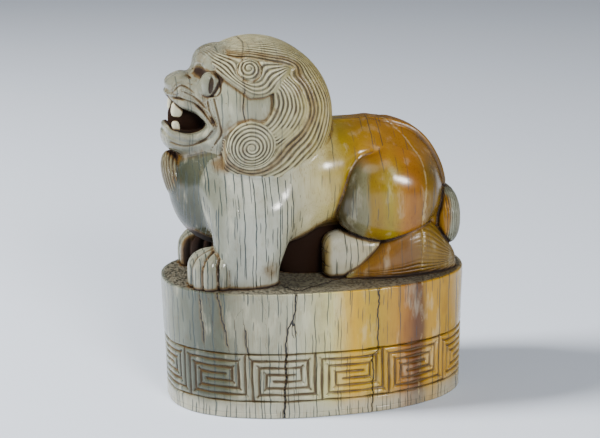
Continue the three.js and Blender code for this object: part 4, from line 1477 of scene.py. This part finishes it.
class Graph:
    """A material's nodes, written as expressions."""

    def __init__(self, name: str) -> None:
        """Starts an empty material."""
        self.material = bpy.data.materials.new(name)
        self.material.use_nodes = True
        self.tree = self.material.node_tree
        self.tree.nodes.clear()

    @staticmethod
    def _find(sockets: Sequence[bpy.types.NodeSocket], key: Union[int, str]) -> bpy.types.NodeSocket:
        """A socket by its number, identifier or name."""
        if isinstance(key, int):
            return sockets[key]
        for socket in sockets:
            if key in (socket.identifier, socket.name) and socket.enabled:
                return socket
        raise KeyError(key)

    def node(self, kind: str, settings: Optional[Mapping[str, object]] = None,
             values: Optional[Mapping[Union[int, str], Value]] = None,
             output: Union[int, str] = 0) -> Term:
        """Adds a node.

        Args:
            kind: the node's type.
            settings: its properties, or a ramp's stops, which are set first.
            values: numbers or links for its sockets.
            output: the output socket that is wanted.

        Returns:
            That output.
        """
        node = self.tree.nodes.new(kind)
        for key, value in (settings or {}).items():
            if key == "stops":
                self._set_stops(node.color_ramp, value)
            else:
                setattr(node, key, value)
        for key, value in (values or {}).items():
            socket = self._find(node.inputs, key)
            if isinstance(value, Term):
                self.tree.links.new(value.socket, socket)
            elif isinstance(value, (int, float)):
                socket.default_value = value
            else:
                full = len(socket.default_value)
                socket.default_value = (tuple(value) + (1.0,))[:full]
        return Term(self, self._find(node.outputs, output))

    @staticmethod
    def _set_stops(ramp: bpy.types.ColorRamp, stops: Sequence[tuple[float, Colour]]) -> None:
        """Gives a ramp its stops."""
        while len(ramp.elements) > 1:
            ramp.elements.remove(ramp.elements[-1])
        for number, (place, colour) in enumerate(stops):
            element = ramp.elements[0] if number == 0 else ramp.elements.new(place)
            element.position = place
            element.color = (*colour, 1.0)

    def mix(self, factor: Value, one: Value, two: Value, blend: str = "MIX") -> Term:
        """A mix of two colours."""
        return self.node("ShaderNodeMix", {"data_type": "RGBA", "blend_type": blend},
                         {"Factor_Float": factor, "A_Color": one, "B_Color": two}, "Result_Color")

    def step(self, value: Term, low: float, high: float) -> Term:
        """A smooth step from 0 at low to 1 at high."""
        return self.node("ShaderNodeMapRange", {"interpolation_type": "SMOOTHSTEP"},
                         {"Value": value, "From Min": low, "From Max": high})

    def along(self, place: Term, axis: int) -> Term:
        """How far a place lies along an axis."""
        return self.node("ShaderNodeSeparateXYZ", None, {0: place}, axis)

    def stretched(self, place: Term, sizes: Sequence[float]) -> Term:
        """A place in millimetres, measured in a pattern's own sizes along each axis."""
        return self.node("ShaderNodeVectorMath", {"operation": "DIVIDE"}, {0: place, 1: sizes})

    def noise(self, place: Term, sizes: Sequence[float], detail: float = 3.0,
              rough: float = 0.55) -> Term:
        """Cloudy noise whose clouds have the given sizes in millimetres."""
        return self.node("ShaderNodeTexNoise", None,
                         {"Vector": self.stretched(place, sizes), "Scale": 1.0, "Detail": detail,
                          "Roughness": rough})

    def cells(self, place: Term, sizes: Sequence[float], feature: str = "DISTANCE_TO_EDGE") -> Term:
        """Distance to the edges or the middles of cells of the given sizes."""
        return self.node("ShaderNodeTexVoronoi", {"feature": feature},
                         {"Vector": self.stretched(place, sizes), "Scale": 1.0})

    def paint(self, name: str) -> Term:
        """A value painted on the skin's points."""
        return self.node("ShaderNodeAttribute", {"attribute_name": name}, None, "Fac")

    def finish(self, surface: Term) -> None:
        """Links the surface to the material's output."""
        end = self.tree.nodes.new("ShaderNodeOutputMaterial")
        self.tree.links.new(surface.socket, end.inputs["Surface"])


def seen(red: int, green: int, blue: int) -> Colour:
    """A surface colour from the shade that it's seen in, out of 255, as the studio shows it."""
    def linear(value: float) -> float:
        """A channel's share of light."""
        part = value / 255
        return part / 12.92 if part <= 0.04045 else ((part + 0.055) / 1.055) ** 2.4
    shades = [linear(value) for value in (red, green, blue)]
    grey = sum(shades) / 3
    return tuple(min(1.0, max(0.004, 0.84 * (grey + 1.6 * (shade - grey)))) for shade in shades)


@dataclass(frozen=True)
class Ivory:
    """Aged ivory: stains along the stamp, drying cracks, dirt in its cuts, painted shade and highlights.
    """

    name: str
    slot: str
    stops: tuple[tuple[float, Colour], ...]  # place along X in millimetres, and the colour there, with painted shade where it darkens
    wander: float = 2.2
    cracks: float = 0.85
    crackSpacing: float = 2.0
    crackWidth: float = 0.1
    rarity: float = 0.47  # how seldom a crack opens
    crackColour: Colour = seen(44, 50, 50)
    rimCracks: float = 0.0  # how many more cracks open at the block's two edges
    stains: float = 0.16  # brown stains in patches
    paleFoot: float = 0.0  # how far the stain fades at the block's foot
    amberTop: float = 0.0  # how much more amber the high places are
    shine: float = 0.4
    crestHighlight: float = 0.0  # how much paler the top of a strand is painted: a painted highlight
    fibres: float = 0.3
    cutColour: Colour = seen(50, 38, 24)
    # tan for the brown stains, and for light painted shade and grime
    tanColour: Colour = seen(108, 84, 54)
    # near black for deep painted shade, as in the mouth, under the belly and between the legs
    deepShadeAndGrimeColour: Colour = seen(26, 19, 12)
    cutShare: float = 0.9
    roughness: float = 0.2

    def _stain_and_shade(self, g: Graph, place: Term, swayed: Term) -> Term:
        """The colour of the clean ivory, with its stains and the shade that the stops paint.

        Args:
            g: the material's graph.
            place: the place in millimetres.
            swayed: the same place, moved a little from spot to spot.

        Returns:
            The colour.
        """
        x = g.along(swayed, 0)
        soft = g.noise(place, (6, 6, 14), 3.0)
        reach = 32.0  # the ramp runs this far to both sides of the middle
        along = (x + (soft - 0.5) * (2 * self.wander) + reach) / (2 * reach)
        # the stops hold the stains along X, and painted shade where they darken towards -X
        shares = [((where + reach) / (2 * reach), colour) for where, colour in self.stops]
        colour = g.node("ShaderNodeValToRGB", {"stops": shares}, {"Fac": along})
        cloud = g.noise(place, (2.4, 2.4, 8.0), 4.0)
        deeper = g.mix(1.0, colour, (0.7, 0.66, 0.56), "MULTIPLY")
        colour = g.mix(g.step(cloud, 0.45, 0.72) * 0.5, colour, deeper)
        paler = g.mix(0.5, colour, seen(206, 204, 188))
        colour = g.mix((1 - g.step(cloud, 0.3, 0.46)) * 0.4, colour, paler)
        patch = g.step(g.noise(place, (3.2, 3.2, 3.6), 4.0, 0.62), 0.54, 0.72) * self.stains
        colour = g.mix(patch, colour, g.mix(0.6, self.tanColour, colour, "MULTIPLY"))
        if self.amberTop:
            high = g.along(place, 2) + (soft - 0.5) * 6.0
            amber = g.step(high, 46.5, 51.0) * g.step(x, 5.0, 9.0) * self.amberTop
            colour = g.mix(amber, colour, seen(146, 108, 6))
        if self.paleFoot:
            low = g.along(place, 2) + (soft - 0.5) * 3.0
            still_brown = g.step(x, 13.0, 17.0) * (1 - g.step(x, 22.0, 25.0)) * 0.45
            faded = (1 - g.step(low, 1.5, 5.0)) * (1 - still_brown)
            colour = g.mix(faded * self.paleFoot, colour, seen(158, 157, 146))
        fibre = g.step(g.noise(swayed, (0.2, 0.2, 5.0), 2.0), 0.5, 0.72) * self.fibres
        return g.mix(fibre, colour, g.mix(1.0, colour, (0.62, 0.5, 0.36), "MULTIPLY"))

    def _lines(self, g: Graph, along: Term, height: Term, waver: Term, fewer: Term) -> Term:
        """Upright cracks across one way over the surface.

        Args:
            g: the material's graph.
            along: the place along that way.
            height: the height.
            waver: how far the cracks stray sideways.
            fewer: how much more seldom they open here.

        Returns:
            1 in a crack and 0 beside it.
        """
        total = None
        for share, rarer, length, shift in ((1.0, 0.0, 15.0, 0.0), (0.6, 0.06, 6.0, 17.0)):
            spacing = self.crackSpacing * share
            across = along / spacing + shift
            cells = {"voronoi_dimensions": "1D", "feature": "DISTANCE_TO_EDGE"}
            edge = g.node("ShaderNodeTexVoronoi", cells,
                          {"W": across + waver / spacing, "Scale": 1.0}) * spacing
            spot = g.node("ShaderNodeCombineXYZ", None, {0: across * 1.6, 1: shift, 2: height / length})
            open_part = g.node("ShaderNodeTexNoise", None, {"Vector": spot, "Scale": 1.0, "Detail": 1.0})
            if self.rimCracks:
                rim = (1 - g.step(height, 0.5, 3.0)).most(g.step(height, STAND - 5.0, STAND - 0.5))
                open_part = open_part + rim * self.rimCracks
            open_part = g.step(open_part - fewer, self.rarity + rarer - 0.03, self.rarity + rarer + 0.05)
            line = ((1 - g.step(edge - open_part * self.crackWidth, -0.03, 0.04))
                    * g.step(open_part, 0.0, 0.3))
            total = line if total is None else total.most(line * 0.85)
        return total

    def _hairlines(self, g: Graph, place: Term) -> Term:
        """Where the fine drying cracks run up and down."""
        x, y, height = (g.along(place, axis) for axis in range(3))
        waver = g.noise(place, (8, 8, 5), 2.0) * 0.9
        turned = g.step(g.paint("turned"), 0.7, 0.74)
        fewer = g.step(x, -8.0, 8.0) * 0.045
        along_x = self._lines(g, x, height, waver, fewer)
        along_y = self._lines(g, y, height, waver, fewer)
        return (along_x * (1 - turned) + along_y * turned) * self.cracks

    def build(self) -> bpy.types.Material:
        """The material."""
        g = Graph(self.name)
        metres = g.node("ShaderNodeTexCoord", None, None, "Object")
        place = g.node("ShaderNodeVectorMath", {"operation": "SCALE"}, {0: metres, "Scale": 1 / MM})
        bent = g.node("ShaderNodeTexNoise", None,
                      {"Vector": g.stretched(place, (3, 3, 9)), "Scale": 1.0, "Detail": 2.0}, "Color")
        swayed = g.node("ShaderNodeVectorMath", {"operation": "MULTIPLY_ADD"},
                        {0: bent, 1: (1.1, 1.1, 1.0), 2: place})
        colour = self._stain_and_shade(g, place, swayed)
        hairline = self._hairlines(g, place)
        colour = g.mix(hairline, colour, self.crackColour)

        crack = g.paint("crack").size()
        split = 1 - g.step(crack, 0.14, 0.32)
        colour = g.mix((1 - g.step(crack, 0.15, 0.9)) * 0.18, colour, seen(120, 96, 64))
        colour = g.mix(split, colour, seen(26, 24, 20))
        seam = g.paint("seam").size()
        ragged = g.noise(place, (1.2, 1.2, 1.2), 3.0)
        colour = g.mix((1 - g.step(seam + (ragged - 0.5) * 0.9, 0.03, 0.2)) * 0.36, colour,
                       seen(188, 178, 148))
        colour = g.mix((1 - g.step(seam + ragged * 0.35, 0.12, 0.2)) * 0.7, colour, seen(100, 74, 42))

        top = g.paint("top")
        pits = 1 - g.step(g.cells(place, (0.62, 0.62, 0.62), "F1"), 0.28, 0.66)
        ground = g.mix(pits * 0.92, seen(100, 97, 88), seen(30, 28, 24))
        colour = g.mix(top * 0.95, colour, ground)
        colour = g.mix(top * split, colour, seen(20, 15, 10))

        turn = g.node("ShaderNodeMath", {"operation": "ARCTAN2"},
                      {0: g.paint("wind_v"), 1: g.paint("wind_u")}) / (2 * math.pi)
        wave = g.node("ShaderNodeMath", {"operation": "SINE"}, {0: (g.paint("strand") - turn) * math.pi})
        between = 1 - wave.size()
        uneven = g.noise(place, (1.4, 1.4, 1.4), 4.0)
        combed = g.paint("comb")
        patchy = g.step(g.noise(place, (2.2, 2.2, 2.2), 3.0), 0.34, 0.62)
        comb = g.step(between + (uneven - 0.5) * 0.5, 0.2, 0.6) * combed * (patchy * 0.45 + 0.55)
        # painted highlight: the top of each strand is painted paler
        if self.crestHighlight:
            crest_highlight = (1 - g.step(between + (uneven - 0.5) * 0.5, 0.02, 0.3)) * combed
            colour = g.mix(crest_highlight * self.crestHighlight, colour, seen(186, 183, 164))
        fret = 1 - g.step(g.paint("fret") + (uneven - 0.5) * 0.24, 0.08, 0.36)
        fret = fret * (patchy * 0.3 + 0.7)
        cut = g.step(g.paint("cut") + (uneven - 0.5) * 0.3, 0.2, 0.8)
        in_cut = comb.most(fret).most(cut) * self.cutShare

        # painted shade, with some grime and stains: tan where it is light, near black where it is deep
        dirt = g.paint("dirt") + (uneven - 0.5) * 0.3
        colour = g.mix(g.step(dirt, 0.16, 0.5) * 0.8, colour,
                       g.mix(0.55, self.tanColour, colour, "MULTIPLY"))
        colour = g.mix(in_cut, colour, self.cutColour)
        deep_shade_and_grime = g.step(dirt, 0.36, 0.8)
        colour = g.mix(deep_shade_and_grime * 0.96, colour, self.deepShadeAndGrimeColour)

        worn = g.noise(place, (0.5, 0.5, 1.6), 4.0)
        rough = self.roughness + (worn - 0.5) * 0.14 + in_cut * 0.3 + deep_shade_and_grime * 0.55 + top * 0.4
        grain = (worn * 0.1 - hairline * 0.5 - split * 1.2 - top * pits * 2.2 - comb * 1.2
                 - fret * 0.8)
        bump = g.node("ShaderNodeBump", None,
                      {"Strength": 0.6, "Distance": 0.1 * MM, "Height": grain}, "Normal")
        surface = g.node("ShaderNodeBsdfPrincipled", None, {
            "Base Color": colour, "Roughness": rough.most(0.12), "Normal": bump, "IOR": 1.54,
            "Specular IOR Level": self.shine, "Subsurface Weight": 0.06,
            "Subsurface Radius": (0.9 * MM, 0.6 * MM, 0.35 * MM), "Subsurface Scale": 1.0,
        })
        g.finish(surface)
        return g.material


def stops(*rows: tuple[float, int, int, int]) -> tuple[tuple[float, Colour], ...]:
    """A ramp's stops, each given by its place along X and the shade that it's seen in."""
    return tuple((place, seen(red, green, blue)) for place, red, green, blue in rows)


# painted shade: the body darkens towards -X, the side turned from the key light; the ambers behind are
# stains
BODY_STOPS = stops(
    (-30, 70, 72, 66), (-25, 78, 80, 73), (-20, 112, 114, 106), (-14, 160, 162, 155),
    (-9, 156, 158, 149), (-4, 158, 155, 136), (1, 162, 154, 122), (5, 132, 116, 66),
    (8, 126, 108, 20), (13, 130, 102, 6), (18, 124, 94, 6), (22, 104, 82, 20), (29, 96, 78, 34),
)
# painted shade: the haunch's front, in the crease before it, is painted dark; the ambers behind are
# stains
HAUNCH_STOPS = stops(
    (2, 54, 48, 38), (6.2, 70, 66, 52), (9.0, 106, 104, 86), (9.9, 112, 94, 22),
    (12, 114, 96, 12), (14.2, 122, 110, 28), (17, 126, 92, 6), (19.5, 116, 84, 22),
    (22, 96, 78, 30), (28, 88, 74, 34),
)
# painted shade: the block darkens towards its -X end, turned from the key light; the browns and ambers
# are stains
BASE_STOPS = stops(
    (-31, 112, 114, 108), (-28.5, 94, 97, 90), (-24.7, 68, 71, 66), (-20.3, 68, 70, 61),
    (-17, 116, 116, 105), (-6, 156, 156, 142), (0.3, 171, 167, 134), (4.9, 172, 144, 80),
    (8.8, 144, 124, 42), (13, 146, 118, 48), (15.5, 126, 92, 12), (17.9, 72, 48, 0),
    (19.4, 80, 58, 4), (20.8, 150, 122, 46), (26.7, 150, 123, 62), (29.6, 154, 134, 94),
    (31, 160, 154, 136),
)
# painted shade: the hair darkens towards -X, where the brow is turned from the light
HAIR_STOPS = stops(
    (-30, 92, 90, 76), (-25, 96, 94, 82), (-18, 118, 117, 103), (-8, 138, 135, 114),
    (-1, 140, 131, 96), (4, 136, 122, 78),
)
PLUME_STOPS = stops(
    (0, 138, 137, 124), (6, 124, 116, 84), (8, 112, 86, 14), (14, 100, 74, 4), (18, 92, 68, 4),
    (21, 102, 84, 30), (29, 100, 84, 46),
)
TAIL_STOPS = stops(
    (20, 112, 86, 28), (26.5, 124, 96, 34), (27.2, 128, 131, 120), (31, 120, 120, 108),
)
TOOTH_STOPS = stops((-30, 186, 184, 170), (-20, 150, 146, 128))
# painted shade: near black, for the mouth's inside and the hollow under the belly
PAINTED_SHADE_STOPS = stops((-28, 28, 21, 15), (12, 30, 22, 16))
# painted shade: the paws darken towards -X
FOOT_STOPS = stops(
    (-28, 112, 113, 105), (-2, 142, 142, 130), (0.6, 110, 84, 44), (1.8, 150, 138, 108),
    (3, 164, 163, 152), (14, 150, 142, 116),
)
# painted shade: the face darkens towards the snout at -X, turned from the key light
FACE_STOPS = stops(
    (-30, 92, 93, 85), (-26, 112, 112, 103), (-22, 110, 111, 102), (-18, 128, 129, 118),
    (-10, 130, 130, 116), (0, 140, 136, 110),
)
# painted shade: the beard, under the chin on the -X side, is painted dark
BEARD_STOPS = stops((-30, 84, 81, 68), (-25, 102, 99, 86))
# painted shade: the chest is painted darker and darker towards -X, the side turned from the key light
CHEST_STOPS = stops(
    (-30, 42, 44, 38), (-25, 50, 52, 45), (-20, 76, 78, 69), (-12, 118, 120, 111),
)


class Finish(Enum):
    """The finishes of the stamp's pieces."""

    BODY = Ivory("polished_ivory", "ivory", BODY_STOPS, cracks=1.0, crackSpacing=1.7)
    # the chest's dark colour is painted shade; its cracks are denser and finer
    CHEST = Ivory("cracked_shaded_ivory", "ivory", CHEST_STOPS, cracks=1.0, crackSpacing=1.15,
                  crackWidth=0.05, rarity=0.43)
    FACE = Ivory("worn_face_ivory", "ivory", FACE_STOPS, cracks=0.7, crackSpacing=2.4, stains=0.5,
                 rarity=0.5, cutShare=0.72, cutColour=seen(58, 49, 36))
    EYE = Ivory("eye_ivory", "ivory", FACE_STOPS, cracks=0.0, cutShare=0.97, cutColour=seen(24, 20, 15))
    BEARD = Ivory("beard_ivory", "combed_hair", BEARD_STOPS, cracks=0.3, stains=0.7)
    FOOT = Ivory("paw_ivory", "ivory", FOOT_STOPS, wander=0.7, cracks=0.9, crackSpacing=1.6)
    TRUNK = Ivory("amber_ivory", "amber_ivory", BODY_STOPS, cracks=0.7, crackSpacing=3.4, fibres=0.6,
                  rarity=0.49, amberTop=0.35)
    HAUNCH = Ivory("haunch_ivory", "amber_ivory", HAUNCH_STOPS, wander=1.4, cracks=0.7,
                   crackSpacing=3.2, fibres=0.6, rarity=0.49, amberTop=0.75)
    PLUME = Ivory("stained_ivory", "stained_ivory", PLUME_STOPS, cracks=0.4, fibres=0.6, roughness=0.32)
    TAIL = Ivory("tail_ivory", "stained_ivory", TAIL_STOPS, cracks=0.3)
    HAIR = Ivory("combed_hair_ivory", "combed_hair", HAIR_STOPS, cracks=0.55, crackSpacing=3.2,
                 stains=0.8, crestHighlight=0.4, fibres=0.2, cutColour=seen(36, 29, 20), roughness=0.3)
    BASE = Ivory("base_ivory", "ivory", BASE_STOPS, wander=0.9, rarity=0.48,
                 rimCracks=0.08, fibres=0.4, paleFoot=0.75, cutColour=seen(56, 44, 30))
    TOOTH = Ivory("tooth_ivory", "tooth", TOOTH_STOPS, cracks=0.1, fibres=0.1)
    # painted shade: near-black ivory for the mouth's inside and the belly's core
    PAINTED_SHADE = Ivory("painted_shade_ivory", "stained_ivory", PAINTED_SHADE_STOPS, cracks=0.0, fibres=0.0, roughness=0.8,
                 shine=0.1)


@dataclass(frozen=True)
class Plan:
    """How a piece of the lion is made."""

    finish: Finish
    spacing: float  # between the grid points that it's carved from
    sided: bool = False  # whether it has a twin on the other side


# the tongue and the belly's core are coloured as painted shade
PLANS = {
    "head": Plan(Finish.FACE, 0.36), "lower_jaw": Plan(Finish.FACE, 0.36),
    "nose": Plan(Finish.FACE, 0.25), "eye": Plan(Finish.EYE, 0.25, True),
    "tongue": Plan(Finish.PAINTED_SHADE, 0.25), "upper_fang": Plan(Finish.TOOTH, 0.25, True),
    "lower_fang": Plan(Finish.TOOTH, 0.25, True), "chest": Plan(Finish.CHEST, 0.65),
    "beard_tuft": Plan(Finish.BEARD, 0.25), "torso": Plan(Finish.TRUNK, 0.65),
    "rump": Plan(Finish.TRUNK, 0.65), "belly_core": Plan(Finish.PAINTED_SHADE, 0.65),
    "spine_ridge": Plan(Finish.TRUNK, 0.44), "tail_curl": Plan(Finish.TAIL, 0.44),
    "foreleg": Plan(Finish.BODY, 0.65, True), "forepaw": Plan(Finish.FOOT, 0.44, True),
    "haunch": Plan(Finish.HAUNCH, 0.65, True), "hind_foot": Plan(Finish.FOOT, 0.44, True),
    "tail_plume": Plan(Finish.PLUME, 0.44, True), "mane": Plan(Finish.HAIR, 0.49),
    "brow": Plan(Finish.HAIR, 0.42, True), "brow_curl": Plan(Finish.HAIR, 0.42, True),
    "mane_lock": Plan(Finish.HAIR, 0.42, True), "mane_curl": Plan(Finish.HAIR, 0.42, True),
}


@dataclass
class Workshop:
    """Turns skins into dressed pieces that ride on the part."""

    materials: dict[Finish, bpy.types.Material] = field(default_factory=dict)

    def dress(self, name: str, skin: Skin, finish: Finish) -> None:
        """Makes a piece from a skin and gives it its finish.

        Args:
            name: name of the CAD node that the piece stands for.
            skin: the piece's surface in millimetres.
            finish: its finish.
        """
        mesh = bpy.data.meshes.new(f"carved_{name}")
        faces = skin.faces.tolist() + skin.caps
        mesh.from_pydata((skin.points * MM).tolist(), [], faces)
        mesh.polygons.foreach_set("use_smooth", np.ones(len(faces), bool))
        for key, plain in PLAIN_PAINT.items():
            values = skin.paint.get(key, np.full(len(skin.points), plain))
            layer = mesh.attributes.new(key, "FLOAT", "POINT")
            layer.data.foreach_set("value", values.astype(np.float32))
        mesh.update()
        piece = bpy.data.objects.new(f"carved_{name}", mesh)
        bpy.context.scene.collection.objects.link(piece)
        if finish not in self.materials:
            self.materials[finish] = finish.value.build()
        mesh.materials.append(self.materials[finish])
        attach(piece, "root")
        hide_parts(name)
        log.info("%s: %d points, %d faces", name, len(skin.points), len(faces))


class Carving:
    """Carves the lion piece by piece."""

    QUICK = 1.7

    def __init__(self, workshop: Workshop) -> None:
        """Prepares the lion's forms."""
        self.workshop = workshop
        self.hair = Hair()
        self.lion = Lion(self.hair)
        self.carver = Carver(self.lion)

    def reach(self, node: str) -> tuple[Array, Array]:
        """Lowest and highest corner of the space that a piece may fill."""
        if node in HAIR_PIECES:
            half = 15.8  # of the mane with its curls
            return self.hair.centre - half, self.hair.centre + half
        boxes = [form.bounds() for form, _, _ in self.lion.forms[node]]
        margin = 5.0 if node in ("head", "lower_jaw") else 2.4
        low = np.min([box[0] for box in boxes], 0) - margin
        high = np.max([box[1] for box in boxes], 0) + margin
        low[2] = max(low[2], STAND - 0.8)
        return low, high

    def carve(self, node: str) -> None:
        """Makes a piece, and its twin on the other side where it has one.

        Args:
            node: the piece's name without its side.
        """
        plan = PLANS[node]
        low, high = self.reach(node)
        if plan.sided:
            low[1] = max(low[1], -0.2)  # a twin's grid starts just past the middle

        def gap(p: Array) -> Array:
            """Distance to the piece, which stays on its own side of the middle."""
            whole = self.lion.piece(node, p)
            return np.maximum(whole, 0.03 - p[:, 1]) if plan.sided else whole

        spacing = plan.spacing * 1.0
        sculptor = Sculptor(gap, low, high, spacing)
        skin = self.carver.finish(node, sculptor, sculptor.skin(1))
        if plan.sided:
            self.workshop.dress(f"right_{node}", skin, plan.finish)
            self.workshop.dress(f"left_{node}", skin.mirrored(), plan.finish)
        else:
            self.workshop.dress(node, skin, plan.finish)

    def build(self) -> None:
        """Makes all the lion's pieces."""
        for node in PLANS:
            self.carve(node)


@dataclass
class Studio:
    """The floor, the lights and the camera."""

    azimuth: float = 10.2  # the camera's angles in degrees
    elevation: float = 13.8
    roll: float = -0.89
    target: Point3 = (-2.40, 0.0, 35.61)  # where it looks, and how far it stands off
    distance: float = 325.6
    lens: float = 96.0
    floorReach: float = 6.0  # half the floor's side in metres
    lampTarget: Point3 = (0.0, 0.0, 0.035)

    def floor(self) -> None:
        """A plain pale floor."""
        mesh = bpy.data.meshes.new("floor")
        reach = self.floorReach
        mesh.from_pydata([(-reach, -reach, 0), (reach, -reach, 0), (reach, reach, 0), (-reach, reach, 0)],
                         [], [(0, 1, 2, 3)])
        floor = bpy.data.objects.new("floor", mesh)
        bpy.context.scene.collection.objects.link(floor)
        g = Graph("pale_floor")
        surface = g.node("ShaderNodeBsdfPrincipled", None,
                         {"Base Color": (0.62, 0.68, 0.78), "Roughness": 0.7})
        g.finish(surface)
        mesh.materials.append(g.material)
        floor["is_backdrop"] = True

    def lamp(self, name: str, place: Point3, size: float, watts: float, glints: bool = False) -> None:
        """A round soft light that faces the stamp.

        Args:
            name: the light's name.
            place: where it stands, in metres.
            size: how wide it is, in metres.
            watts: its power.
            glints: whether it only glints in the surface, or else only shines on it.
        """
        light = bpy.data.lights.new(name, "AREA")
        light.shape = "DISK"
        light.size = size
        light.energy = watts
        light.color = (1.0, 0.98, 0.95)
        lamp = bpy.data.objects.new(name, light)
        bpy.context.scene.collection.objects.link(lamp)
        lamp.location = place
        aim = Vector(self.lampTarget) - Vector(place)
        lamp.rotation_euler = aim.to_track_quat("-Z", "Y").to_euler()
        lamp.visible_glossy = glints
        lamp.visible_diffuse = not glints

    def lights(self) -> None:
        """Soft studio light."""
        self.lamp("glint", (0.34, -0.53, 0.28), 0.11, 4.0, True)
        self.lamp("wide_glint", (-0.1, -0.5, 0.75), 0.5, 1.8, True)
        self.lamp("key", (0.16, -0.76, 0.36), 0.3, 9.5)
        self.lamp("over", (-0.66, 0.04, 0.46), 0.24, 19.0)
        world = bpy.data.worlds.new("studio")
        bpy.context.scene.world = world
        world.use_nodes = True
        background = world.node_tree.nodes["Background"].inputs
        background["Color"].default_value = (0.82, 0.86, 0.92, 1)
        background["Strength"].default_value = 0.22

    def camera(self) -> None:
        """The camera at the photograph's angle."""
        a, e, r = (math.radians(v) for v in (self.azimuth, self.elevation, self.roll))
        ahead = Vector((math.sin(a) * math.cos(e), math.cos(a) * math.cos(e), -math.sin(e)))
        right = Vector((math.cos(a), -math.sin(a), 0))
        up = right.cross(ahead)
        tilted_right = right * math.cos(r) + up * math.sin(r)
        tilted_up = up * math.cos(r) - right * math.sin(r)
        data = bpy.data.cameras.new("camera")
        data.lens = self.lens
        data.sensor_width = 36.0
        data.sensor_fit = "HORIZONTAL"
        data.clip_end = 20.0
        camera = bpy.data.objects.new("camera", data)
        bpy.context.scene.collection.objects.link(camera)
        camera.matrix_world = Matrix((tilted_right, tilted_up, -ahead)).transposed().to_4x4()
        camera.location = (Vector(self.target) - ahead * self.distance) * MM
        bpy.context.scene.camera = camera

    def build(self) -> None:
        """Sets up the studio."""
        self.floor()
        self.lights()
        self.camera()


def write_sizes() -> None:
    """Gathers the CAD box and the visual model's box as plain lists, and writes them nowhere."""
    def plain(box: Sequence[Sequence[float]]) -> list[list[float]]:
        """A box as plain lists of numbers."""
        return [[float(value) for value in corner] for corner in box]
    {"cad": plain(CAD_BOX), "visual": plain(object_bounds())}


def main() -> None:
    """Builds the stamp and its studio."""
    logging.basicConfig(level=logging.INFO, format="%(message)s")
    workshop = Workshop()
    carving = Carving(workshop)
    carving.build()
    Block(carving.lion).build(workshop)
    Studio().build()
    write_sizes()


if __name__ == "__main__":
    main()
